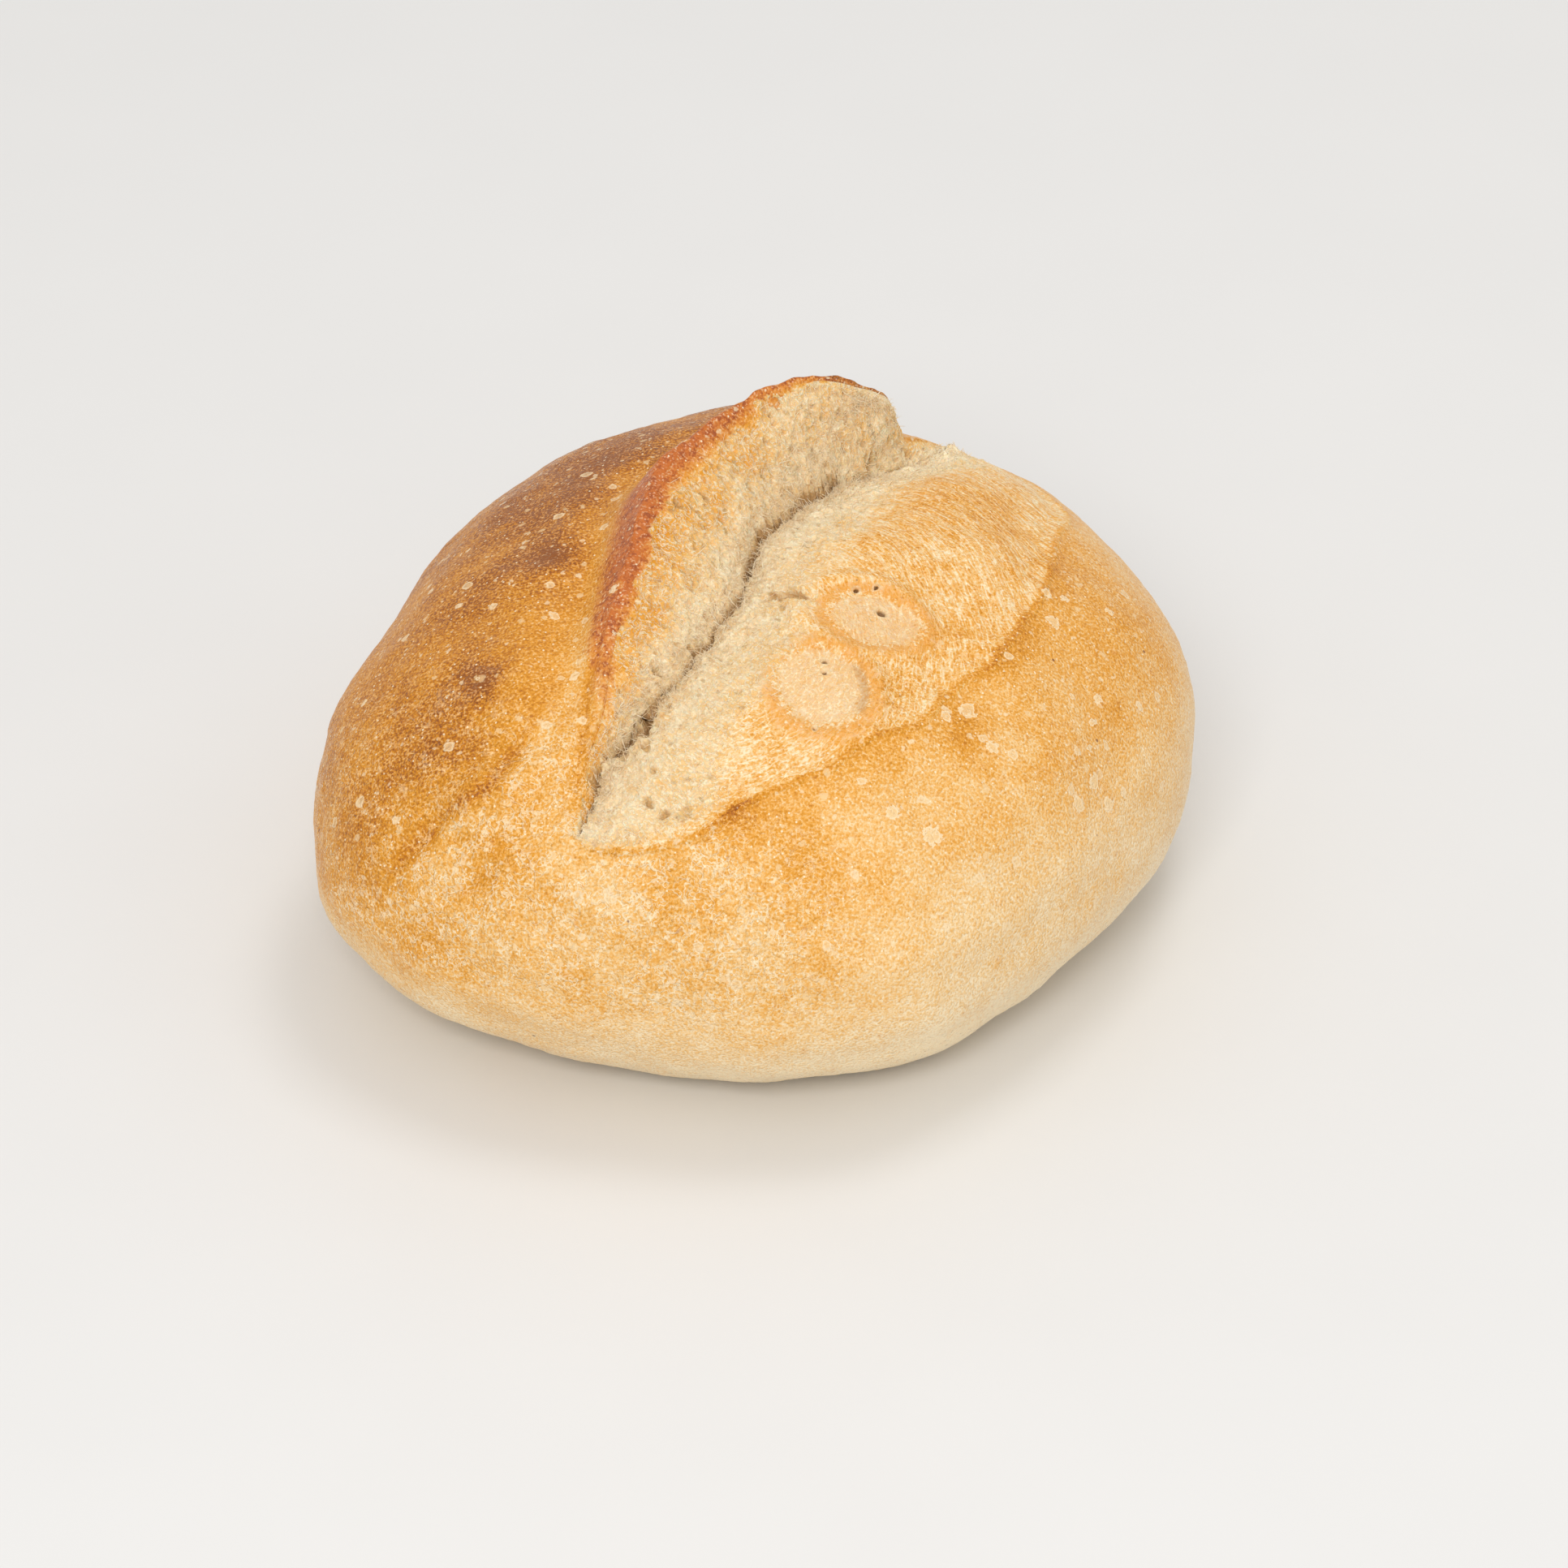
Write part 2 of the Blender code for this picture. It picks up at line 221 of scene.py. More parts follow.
def randomAt(cells, seed):
    # repeatable random number from 0 to 1 for every whole-number cell
    mixed = cells.astype(np.int64) @ np.array((73856093, 19349663, 83492791)) + seed * 374761393
    mixed = mixed.astype(np.uint64) & np.uint64(0xFFFFFFFF)
    for shift, factor in ((16, 0x7FEB352D), (15, 0x846CA68B)):
        mixed = (mixed ^ (mixed >> np.uint64(shift))) * np.uint64(factor) & np.uint64(0xFFFFFFFF)
    return (mixed ^ (mixed >> np.uint64(16))) / 2.0**32


def noise(points, size, seed):
    # smooth random swells from -1 to 1; size is one number, or one for each axis
    place = points / size
    cell = np.floor(place)
    part = place - cell
    part = part**3 * (part * (part * 6.0 - 15.0) + 10.0)
    total = np.zeros(points.shape[:-1])
    for corner in np.ndindex(2, 2, 2):
        weight = np.prod(np.where(np.array(corner) == 1, part, 1.0 - part), axis=-1)
        total += weight * randomAt(cell + corner, seed)
    return 2.0 * total - 1.0


def noises(points, rows):
    # several noises on top of each other: size, amount, seed
    return sum(amount * noise(points, size, seed) for size, amount, seed in rows)


def flatPlace(s, w=0.0):
    # a place along and across the score as a point, for noise that is drawn out along it
    return np.stack((s, w + np.zeros_like(s), np.zeros_like(s)), axis=-1)


def nearestCell(points, size, seed):
    # distance to the nearest of random places about one size apart, and that place's own number
    place = points / size
    cell = np.floor(place)
    nearest = np.full(points.shape[:-1], 9.0)
    number = np.zeros(points.shape[:-1])
    for offset in np.ndindex(3, 3, 3):
        near = cell + offset - 1.0
        spot = near + np.stack([randomAt(near, seed + k) for k in range(3)], axis=-1)
        gap = np.linalg.norm(place - spot, axis=-1)
        number = np.where(gap < nearest, randomAt(near, seed + 3), number)
        nearest = np.minimum(gap, nearest)
    return nearest, number


def planRadius(angle):
    share = np.ones_like(angle)
    for waves, size, start in form["planWaves"]:
        share += size * np.cos(waves * (angle - math.radians(start)))
    return form["planRadius"] * share


def leanAt(rise):
    return form["crownLean"] * np.maximum(rise / form["crownRise"], 0.0) ** 2


def domePoint(direction):
    # point of the plain loaf, without its score, in a direction from its centre
    level = np.hypot(direction[..., 0], direction[..., 1])
    radius = planRadius(np.arctan2(direction[..., 1], direction[..., 0]))
    depth = np.where(direction[..., 2] > 0.0, form["crownRise"], form["undercutDrop"])
    power = form["fullness"]
    reach = (level / radius) ** power + (np.abs(direction[..., 2]) / depth) ** power
    point = direction * (reach ** (-1.0 / power))[..., None]
    return point + leanAt(point[..., 2])[..., None] * leanWay


def directionAbove(s, w):
    # direction of the plain loaf's top at a place along and across the score
    flat = s[..., None] * along + w[..., None] * across
    rise = np.zeros_like(s)
    for _ in range(8):
        foot = flat - leanAt(rise)[..., None] * leanWay
        level = np.hypot(foot[..., 0], foot[..., 1])
        radius = planRadius(np.arctan2(foot[..., 1], foot[..., 0]))
        inside = np.maximum(1.0 - (level / radius) ** form["fullness"], 1e-4)
        rise = form["crownRise"] * inside ** (1.0 / form["fullness"])
    point = foot + rise[..., None] * upward
    return point / np.linalg.norm(point, axis=-1)[..., None]


def directionOf(endAngle, roundAngle):
    # direction from the angle off the front end and the angle round the score's axis
    out = np.sin(endAngle)[..., None]
    forward = -np.cos(endAngle)[..., None] * along
    right = np.sin(roundAngle)[..., None] * across
    high = np.cos(roundAngle)[..., None] * upward
    return forward + out * (right + high)


def seamAt(s):
    return readLine(score["seam"], s)


def lipAt(s):
    return seamAt(s) - readLine(ear["setback"], s)


def bloomEdgeAt(s):
    wander = noises(flatPlace(s), bloom["edgeWander"])
    return readLine(bloom["edge"], s) + wander * within((bloom["steadyUntil"],), s)


def alongFade(s):
    front = ease((s - score["front"]) / score["frontFade"])
    return front * ease((score["back"] - s) / score["backFade"])


def earLift(s, w):
    seam = seamAt(s)
    lip = lipAt(s)
    face = np.clip((seam - w) / np.maximum(seam - lip, 1e-4), 0.0, 1.0)
    height = np.maximum(readLine(ear["height"], s), 0.0)
    behind = np.clip((lip - w) / (ear["flankWidth"] + ear["flankSpread"] * height), 0.0, 1.0)
    tornFace = 1.2 * face - 0.2 * face**3
    flank = (1.0 - behind) ** 2 * (1.0 + 0.5 * behind)
    return height * np.where(w > lip, tornFace, flank)


def scoreRelief(s, w):
    seam = seamAt(s)
    lip = lipAt(s)
    left = (seam - w) / np.maximum(seam - lip, 1e-4)
    right = (w - seam) / np.maximum(score["valleyShare"] * (bloomEdgeAt(s) - seam), 1e-4)
    valley = 1.0 - np.where(w > seam, ease(right), np.clip(left, 0.0, 1.0))
    trough = hump((lip - score["troughSetback"] - w) / score["troughWidth"])
    return -alongFade(s) * (score["seamSink"] * valley + score["troughDepth"] * trough)


def oval(s, w, middle, half, turned):
    # distance from an oval's middle, 1 on its outline; it is turned from s towards w
    angle = math.radians(turned)
    lengthwise = (s - middle[0]) * math.cos(angle) + (w - middle[1]) * math.sin(angle)
    crosswise = (w - middle[1]) * math.cos(angle) - (s - middle[0]) * math.sin(angle)
    return np.hypot(lengthwise / half[0], crosswise / half[1])


def nearestOval(s, w, ovals):
    # distance from the middle of the nearest oval, 1 on its outline
    reach = np.full_like(s, 9.0)
    for b in ovals:
        reach = np.minimum(reach, oval(s, w, b[:2], b[2:4], b[4]))
    return reach


def slotReach(s, w):
    slot = bloom["slot"]
    return oval(s, w, slot[:2], slot[2:4], slot[4])


def bloomRelief(s, w):
    seam = seamAt(s)
    edge = bloomEdgeAt(s)
    middle = np.clip((w - seam) / np.maximum(edge - seam, 1e-4), 0.0, 1.0)
    inside = ease((edge - w) / bloom["stepWidth"]) * (w > seam) * alongFade(s)
    relief = inside * (bloom["swell"] * np.sin(math.pi * middle) - bloom["step"])
    reach = nearestOval(s, w, bloom["blisters"])
    relief += bloom["rimHeight"] * hump((reach - bloom["rimPlace"]) / bloom["rimWidth"])
    relief -= bloom["blisterSink"] * (1.0 - ease((reach - bloom["blisterFlat"]) / bloom["rimWidth"]))
    return relief - bloom["slotDepth"] * (1.0 - ease(slotReach(s, w) - bloom["slotFlat"]))


def foldRelief(s, w):
    offset = (s - readLine(fold["line"], w)) / fold["width"]
    outer = ease((w - fold["line"][0][0]) / fold["fade"])
    inner = ease((fold["line"][-1][0] - w) / fold["fade"])
    return fold["height"] * outer * inner * hump(offset)


def shoulderRelief(s, w):
    gap = np.hypot(s - shoulder["place"][0], w - shoulder["place"][1])
    return shoulder["height"] * hump(gap / shoulder["reach"])


def settle(rise):
    # height over the surface the loaf stands on, with a rounded edge round the flat base
    height = rise + form["widestHeight"]
    rounding = form["baseRounding"]
    rounded = (height + rounding) ** 2 / (4.0 * rounding)
    return np.where(height > rounding, height, np.where(height > -rounding, rounded, 0.0))


def loafSurface(direction, fine):
    # the frame's loaf in a direction from its centre; fine(point, s, w) adds relief along it
    plain = domePoint(direction)
    s = plain @ along
    w = plain @ across
    onTop = ease(plain[..., 2] / score["drop"])
    relief = onTop * (scoreRelief(s, w) + bloomRelief(s, w) + foldRelief(s, w) + shoulderRelief(s, w))
    for size, height, seed in form["swells"]:
        relief += height * swells(plain, size, seed)
    relief += fine(plain, s, w, onTop)
    lift = onTop * earLift(s, w)
    point = plain + relief[..., None] * direction + lift[..., None] * upward
    return np.concatenate((point[..., :2], settle(point[..., 2])[..., None]), axis=-1), s, w, onTop


# How brown the skin is, from 0 for crumb to 1 for char. A mark is (s, w, height, radius, amount).
browning = {
    "base": 0.03,
    # amount, and the spans over which it comes in along s, across w and with height
    "regions": (
        (0.34, None, None, (0.0, 0.036)),  # the sides
        (0.11, None, None, (0.040, 0.068)),  # the crown
        (0.10, (-0.055, 0.005), (-0.016, -0.046), None),  # the far left
        (0.30, None, None, (0.0015, 0.0)),  # the underside
        (-0.06, None, (-0.020, 0.020), (0.045, 0.015)),  # the foot on the right
        (-0.13, None, (0.050, 0.070), (0.056, 0.036)),  # the right flank
        (-0.04, None, (-0.010, 0.020), None),  # the whole right half
    ),
    # the browner left side: real browning, and partly painted shade
    "leftSide": (0.12, 0.13),
    "leftWidths": (0.004, 0.022),
    "leftHeights": (0.014, 0.048),
    "leftSoft": 5.0,
    "leftSoftSpan": (0.050, 0.070),
    "leftWander": ((0.012, 0.009, 36),),
    # where the browner left side ends (s, w)
    "leftBorder": (
        (-0.0900, -0.0290), (-0.0845, -0.0282), (-0.0832, -0.0262), (-0.0810, -0.0235), (-0.0796, -0.0211),
        (-0.0774, -0.0193), (-0.0750, -0.0160), (-0.0728, -0.0125), (-0.0694, -0.0102), (-0.0622, -0.0096),
        (-0.0565, -0.0097), (-0.0509, -0.0105), (-0.0421, -0.0130), (-0.0358, -0.0145), (-0.0280, -0.0155),
        (-0.0150, -0.0190), (0.0050, -0.0200), (0.0400, -0.0100), (0.0900, 0.0000),
    ),
    # the pale trough beside the ear: amount, setback, width, spans in s and height, its streaks
    "trough": (0.03, 0.0062, 0.0066, ((-0.034, -0.044), (0.050, 0.060)), 0.9),
    "troughStreaks": (0.014, 0.0013, 1.0),
    "mottle": ((0.020, 0.065, 31), (0.008, 0.050, 32)),
    "burnToast": 0.24,
    "marks": (
        (-0.0530, -0.0250, 0.0690, 0.0070, 0.15),
        (-0.0670, -0.0277, 0.0610, 0.0070, 0.12),
        (-0.0765, -0.0378, 0.0469, 0.0080, 0.12),
        (-0.0196, -0.0316, 0.0754, 0.0060, 0.13),
        (0.0050, -0.0480, 0.0650, 0.0160, 0.06),
        (-0.0159, 0.0552, 0.0653, 0.0045, 0.18),
        (0.0016, 0.0517, 0.0683, 0.0050, 0.12),
        (0.0390, 0.0450, 0.0679, 0.0070, 0.08),
        (0.0120, 0.0510, 0.0690, 0.0050, 0.06),
        (-0.0320, 0.0470, 0.0668, 0.0070, 0.14),
        (-0.0564, 0.0303, 0.0623, 0.0060, 0.15),
        (-0.0703, 0.0321, 0.0481, 0.0090, 0.14),
        (-0.0510, 0.0410, 0.0610, 0.0090, 0.08),
        (-0.0600, 0.0480, 0.0500, 0.0100, 0.07),
        (-0.0813, -0.0025, 0.0470, 0.0080, 0.08),
        (0.0350, 0.0640, 0.0560, 0.0110, 0.07),
        (-0.0832, -0.0262, 0.0417, 0.0150, 0.08),
        (-0.0765, 0.0100, 0.0520, 0.0150, -0.09),
        (-0.0700, 0.0330, 0.0480, 0.0170, -0.05),
        (0.0230, 0.0330, 0.0740, 0.0120, 0.09),
        (-0.0180, 0.0430, 0.0710, 0.0090, 0.10),
        (0.0420, 0.0250, 0.0740, 0.0140, 0.05),
        (-0.0380, -0.0440, 0.0670, 0.0140, 0.06),
        (0.0160, -0.0410, 0.0730, 0.0140, 0.08),
        (-0.0020, 0.0420, 0.0720, 0.0080, 0.06),
        (0.0335, 0.0390, 0.0710, 0.0080, 0.05),
    ),
    # red-brown scorches, the same way
    "burns": (
        (-0.0530, -0.0250, 0.0690, 0.0034, 0.75),
        (-0.0196, -0.0316, 0.0754, 0.0030, 0.65),
        (-0.0560, -0.0215, 0.0690, 0.0020, 0.55),
        (-0.0670, -0.0277, 0.0610, 0.0024, 0.40),
        (-0.0159, 0.0552, 0.0653, 0.0030, 0.35),
        (-0.0564, 0.0303, 0.0623, 0.0022, 0.35),
        (-0.0120, 0.0490, 0.0690, 0.0024, 0.30),
    ),
}

# Creases in the crust: where they run (s, w, height), their width and depth, how much browner they are.
creases = (
    (((-0.0565, -0.0097, 0.0684), (-0.0622, -0.0096, 0.0656), (-0.0660, -0.0098, 0.0639),
      (-0.0694, -0.0102, 0.0619), (-0.0712, -0.0109, 0.0604), (-0.0728, -0.0125, 0.0589),
      (-0.0750, -0.0160, 0.0565), (-0.0774, -0.0193, 0.0532), (-0.0796, -0.0211, 0.0500),
      (-0.0810, -0.0235, 0.0474), (-0.0821, -0.0251, 0.0448), (-0.0832, -0.0262, 0.0417),
      (-0.0841, -0.0278, 0.0370)), 0.0019, 0.0008, 0.20),
    (((-0.0845, -0.0167, 0.0415), (-0.0834, -0.0112, 0.0443), (-0.0811, -0.0060, 0.0481),
      (-0.0793, -0.0030, 0.0504)), 0.0012, 0.0005, 0.09),
    (((-0.0793, -0.0185, 0.0508), (-0.0777, -0.0082, 0.0531), (-0.0746, -0.0012, 0.0558)),
     0.0012, 0.0003, 0.07),
    (((-0.0380, -0.0100, 0.0775), (-0.0414, -0.0080, 0.0763), (-0.0454, -0.0058, 0.0743),
      (-0.0511, -0.0038, 0.0712), (-0.0565, -0.0002, 0.0686), (-0.0616, 0.0022, 0.0652),
      (-0.0654, 0.0036, 0.0624), (-0.0688, 0.0048, 0.0588)), 0.0010, 0.0004, 0.20),
)

# Pale round spots in the skin: s, w, height, radius.
paleSpots = (
    (-0.0045, 0.0725, 0.0484, 0.0019), (0.0021, 0.0721, 0.0495, 0.0019),
    (0.0038, 0.0745, 0.0445, 0.0017), (-0.0115, 0.0536, 0.0667, 0.0020),
    (-0.0164, 0.0517, 0.0674, 0.0014), (-0.0143, 0.0598, 0.0623, 0.0016),
    (0.0155, 0.0655, 0.0578, 0.0014), (0.0101, 0.0672, 0.0563, 0.0012),
    (0.0096, 0.0627, 0.0607, 0.0010), (0.0251, 0.0477, 0.0693, 0.0014),
    (0.0277, 0.0502, 0.0676, 0.0012), (0.0342, 0.0558, 0.0629, 0.0011),
    (0.0203, 0.0522, 0.0674, 0.0018), (0.0016, 0.0682, 0.0551, 0.0012),
    (0.0052, 0.0690, 0.0542, 0.0010), (0.0245, 0.0692, 0.0523, 0.0012),
    (-0.0363, 0.0607, 0.0562, 0.0022), (-0.0390, 0.0538, 0.0606, 0.0016),
    (-0.0530, -0.0262, 0.0684, 0.0010), (-0.0100, -0.0270, 0.0770, 0.0012),
    (0.0060, -0.0200, 0.0780, 0.0013), (-0.0300, -0.0120, 0.0760, 0.0014),
)


def inLoaf(s, w, height):
    # a named place, as a point in the loaf's own frame
    return s * along + w * across + (height - form["widestHeight"]) * upward


def gapTo(point, s, w, height):
    # distance from a named place
    return np.linalg.norm(point - inLoaf(s, w, height), axis=-1)


def spotReach(point):
    # distance from the nearest pale spot's middle, 1 on its outline
    reach = np.full(point.shape[:-1], 3.0)
    for *place, radius in paleSpots:
        reach = np.minimum(reach, gapTo(point, *place) / (0.85 * radius))
    return reach


def nearestOnLine(point, places):
    # distance to a line through places, how far along it that is, and which side of it (in s and w)
    nearest = np.full(point.shape[:-1], 9.0)
    share = np.zeros(point.shape[:-1])
    side = np.zeros(point.shape[:-1])
    for k in range(len(places) - 1):
        step = places[k + 1] - places[k]
        away = point - places[k]
        t = np.clip(away @ step / (step @ step), 0.0, 1.0)
        gap = np.linalg.norm(away - t[..., None] * step, axis=-1)
        closer = gap < nearest
        share = np.where(closer, (k + t) / (len(places) - 1.0), share)
        side = np.where(closer, step[1] * away[..., 0] - step[0] * away[..., 1], side)
        nearest = np.minimum(gap, nearest)
    return nearest, share, side


def creaseLines(point):
    # each crease: 1 on its line, fading to its sides and ends
    for trail, width, depth, brown in creases:
        places = np.array([inLoaf(*place) for place in trail])
        places = domePoint(places / np.linalg.norm(places, axis=1)[:, None])
        gap, share, _ = nearestOnLine(point, places)
        yield ease(share / 0.2) * ease((1.0 - share) / 0.2) * bell(gap / width), depth, brown


def creaseDepth(point):
    return sum(depth * line for line, depth, _ in creaseLines(point))


def leftShare(point, s, w):
    # the browner left side, real browning and partly painted shade: a fairly sharp border, softer past the
    # far end, then slowly browner
    gap, _, side = nearestOnLine(np.stack((s, w), axis=-1), np.array(browning["leftBorder"]))
    beyond = within((browning["leftSoftSpan"],), s)
    gap = gap * np.sign(side) + beyond * noises(point, browning["leftWander"])
    sharp, slow = browning["leftWidths"]
    sharp = sharp * (1.0 + browning["leftSoft"] * beyond)
    return browning["leftSide"][0] * ease(gap / sharp + 0.5) + browning["leftSide"][1] * ease(gap / slow)


def toastAt(point, s, w, height):
    toast = browning["base"] + np.zeros_like(s)
    for amount, *spans in browning["regions"]:
        toast += amount * within(spans, s, w, height)
    toast += leftShare(point, s, w) * within((browning["leftHeights"],), height)
    amount, setback, width, spans, streaked = browning["trough"]
    streaks = noise(flatPlace(s, w), np.array(browning["troughStreaks"]), 35)
    beside = hump((lipAt(s) - setback - w) / width) * within(spans, s, height)
    toast -= amount * beside * (1.0 - streaked * streaks)
    toast += sum(brown * line for line, _, brown in creaseLines(point))
    for *place, radius, amount in browning["marks"]:
        toast += amount * bell(gapTo(point, *place) / radius)
    return toast + noises(point, browning["mottle"])


crust = {
    "rings": 300,
    # columns of its mesh from the underside up the left side, over the score and down the right
    "columns": (13, 44, 44, 34, 30, 7, 9, 6, 44, 44, 13),
    "sideAngle": math.radians(92.0),
    "footAngle": math.radians(148.0),
    "angleLimits": {"lip": 0.55, "trough": 0.42, "edge": 0.5, "past": 0.1},
    "evenEnds": (0.04, 0.26),
    "lipReach": 0.0036,
    "edgeReach": 0.0030,
    "bedStart": 0.0015,
    "bedDepth": 0.0030,
    "bedSlope": 0.0015,
    "bedTrench": (0.0060, 0.006, 0.003),
    "bedIntoEar": 0.003,
    "bedFarEnd": ((0.045, 0.049), 0.002, 0.004),
    "wrinkles": ((0.0045, 0.00016, 41), (0.0021, 0.00010, 42), (0.0011, 0.00005, 43)),
    "crinkle": 0.00016,
    "crinkleSize": 0.0026,
    "crinkleSpans": ((-0.045, -0.065), (0.070, 0.040), (0.020, 0.035)),
    "crestReach": 0.004,
    "crestBumps": ((0.0052, 0.0005, 44), (0.0020, 0.00028, 45)),
    "basePits": (0.0005, 0.0035),
    "edgeRidge": (0.00035, 0.0007, 0.0008),
}

# The piece that lies in the opened score: from just inside the lip to just inside the edge.
opened = {
    "front": -0.0722,
    "back": 0.0712,
    "lipInset": (0.0013, 0.0004),
    "lipInsetSpan": (0.010, 0.030),
    "edgePast": 0.0024,
    "rows": 401,
    # columns on the torn face, in the crack, on the strip of crumb and on the bloom
    "columns": (70, 40, 46, 76),
    "floorStep": 8,
    "floorDrop": 0.001,
    "floorTrench": (1.1, 0.0065),
    "thickness": 0.0018,
    "crackReach": 0.0026,
    "crackPastLip": 0.0011,
    "tuck": 0.00026,
    "raise": 0.00006,
    "tuckWidth": 0.0010,
    "edgeWidths": {"relief": 0.0012, "strands": 0.002},
    "streamSize": (0.0008, 0.0032, 1.0),
    "streamRound": 0.030,
    # crumb as far as this line right of the score (s, w), with skin past it
    "crumbEdge": (
        (-0.0740, 0.0085), (-0.0712, 0.0122), (-0.0687, 0.0168), (-0.0644, 0.0225), (-0.0599, 0.0264),
        (-0.0565, 0.0280), (-0.0529, 0.0268), (-0.0486, 0.0250), (-0.0443, 0.0235), (-0.0325, 0.0231),
        (-0.0188, 0.0215), (-0.0132, 0.0191), (-0.0058, 0.0165), (0.0121, 0.0143), (0.0252, 0.0125),
        (0.0391, 0.0105), (0.0480, 0.0120), (0.0560, 0.0145), (0.0620, 0.0125), (0.0670, 0.0070),
        (0.0712, 0.0015),
    ),
    # how far below the lip the torn face starts (s, distance)
    "tornFrom": (
        (-0.0740, 0.0006), (-0.0600, 0.0006), (-0.0520, 0.0012), (-0.0450, 0.0026), (-0.0300, 0.0042),
        (-0.0100, 0.0048), (0.0100, 0.0046), (0.0220, 0.0032), (0.0340, 0.0012), (0.0420, 0.0006),
        (0.0712, 0.0006),
    ),
    "crackDepth": 0.0022,
    "crackWidth": (0.0002, 0.0014),
    "crackWaver": ((0.0065, 0.0006, 51), (0.0023, 0.0003, 52)),
    "crackFray": ((0.0012, 0.00035, 55), (0.0006, 0.00022, 56)),
    "crackUneven": ((0.0030, 0.4, 54),),
    # where it runs along the lip instead of the seam, and where it lies a little past the seam
    "crackToLip": (-0.0572, -0.0612),
    "crackPastSeam": (-0.0004, 0.0012, (-0.046, -0.052)),
    "crackSpans": ((-0.0725, -0.0695), (0.047, 0.033)),
    # how far the crack stands open along the score
    "crackOpen": (
        (-0.0740, 0.2), (-0.0700, 0.5), (-0.0650, 0.9), (-0.0625, 0.8), (-0.0600, 0.2), (-0.0580, 0.5),
        (-0.0560, 0.9), (-0.0540, 0.3), (-0.0515, 1.0), (-0.0490, 0.4), (-0.0443, 0.7), (-0.0400, 0.4),
        (-0.0312, 0.6), (-0.0250, 0.55), (-0.0155, 0.8), (-0.0100, 0.6), (-0.0030, 0.9), (0.0040, 0.5),
        (0.0105, 0.6), (0.0180, 0.4), (0.0276, 0.6), (0.0350, 0.15), (0.0420, 0.05), (0.0712, 0.0),
    ),
    # painted shade on the crumb beside it: width, amount, half-width at which it is full
    "crackShade": (0.0019, 0.5, 0.0006),
    "crackLean": -0.25,
    # the torn crumb's border: how ragged it is, how softly it fades, and where it ends
    "ragged": ((0.0060, 0.0022, 61), (0.0022, 0.0012, 62)),
    "tornFades": {"face": 0.0022, "strip": 0.0080, "edge": 0.0012},
    "tornSpans": ((-0.0722, -0.0712), (0.0712, 0.0682)),
    "fibre": 0.00036,
    "lumps": ((0.0048, 0.00055, 63), (0.0022, 0.000275, 64), (0.0007, 0.00026, 67)),
    "endFlakes": (0.0016, 0.0026, (0.052, 0.062)),
    "streak": 0.00010,
    "streamMiddle": (-0.0290, 0.0080),
    "pitDepth": 0.0012,
    "stripPits": 0.40,
    "holeRagged": ((0.0013, 1.5, 68),),
    "slotRagged": ((0.0015, 0.5, 70),),
    "poreDepth": 0.0011,
    "poreEdge": (1.25, 0.75),
    # pits: size along and down, share of cells left whole, radius and its growth, softness, seed, depth
    "pits": (
        ((0.0030, 0.0044), 0.60, 0.12, 0.70, 0.20, 71, 1.0),
        ((0.0015, 0.0024), 0.55, 0.30, 0.00, 0.24, 81, 0.70),
    ),
    "holes": (
        (-0.0620, 0.0166, 0.0012), (-0.0618, 0.0199, 0.0011), (-0.0614, 0.0231, 0.0013),
        (-0.0607, 0.0261, 0.0015), (-0.0539, 0.0085, 0.0016), (-0.0572, 0.0080, 0.0012),
        (-0.0505, 0.0055, 0.0017), (-0.0570, 0.0135, 0.0010), (-0.0453, 0.0082, 0.0010),
    ),
    "pores": (
        (-0.0224, 0.0292, 0.00060), (-0.0246, 0.0305, 0.00045), (-0.0038, 0.0305, 0.00095),
        (-0.0025, 0.0238, 0.00055), (0.0002, 0.0262, 0.00045), (-0.0359, 0.0352, 0.00040),
        (0.0247, 0.0168, 0.00030), (-0.0101, 0.0130, 0.00030),
    ),
}


def faceReach(s):
    # length of the torn face from the lip down to the seam
    return np.hypot(seamAt(s) - lipAt(s), np.maximum(readLine(ear["height"], s), 0.0))


def faceStretch(s):
    return faceReach(s) / (seamAt(s) - lipAt(s))


def sheetBorders(s):
    # left and right border of the piece in the opened score
    gap = seamAt(s) - lipAt(s)
    near, far = opened["lipInset"]
    inset = near + (far - near) * within((opened["lipInsetSpan"],), s)
    return lipAt(s) + np.minimum(inset, 0.10 * gap), bloomEdgeAt(s) + opened["edgePast"]


def sheetInset(s, w):
    # how far a place lies inside that piece, along the surface, and less than nothing outside it
    left, right = sheetBorders(s)
    ends = np.minimum(s - opened["front"], opened["back"] - s)
    slant = (bloomEdgeAt(s + 0.0002) - bloomEdgeAt(s - 0.0002)) / 0.0004
    return np.minimum(np.minimum((w - left) * faceStretch(s), (right - w) / np.hypot(1.0, slant)), ends)


def crinkleAt(point, s, w, height):
    # papery, wrinkled skin over the front and the fold, less of it elsewhere
    front = within(crust["crinkleSpans"], s, w, height)
    return np.clip(front + 0.25 * noise(point, 0.012, 46), 0.0, 1.0)


def skinRelief(plain, s, w, onTop):
    height = plain[..., 2] + form["widestHeight"]
    relief = noises(plain, crust["wrinkles"])
    ridges = 1.0 - 2.0 * np.abs(noise(plain, crust["crinkleSize"], 47))
    relief += crust["crinkle"] * crinkleAt(plain, s, w, height) * ridges
    onCrest = onTop * hump((w - lipAt(s)) / crust["crestReach"])
    onCrest *= ease(readLine(ear["height"], s) / crust["crestReach"])
    relief += onCrest * noises(plain, crust["crestBumps"])
    ridge, width, past = crust["edgeRidge"]
    relief += ridge * onTop * alongFade(s) * bell((w - bloomEdgeAt(s) - past) / width)
    return relief - creaseDepth(plain)


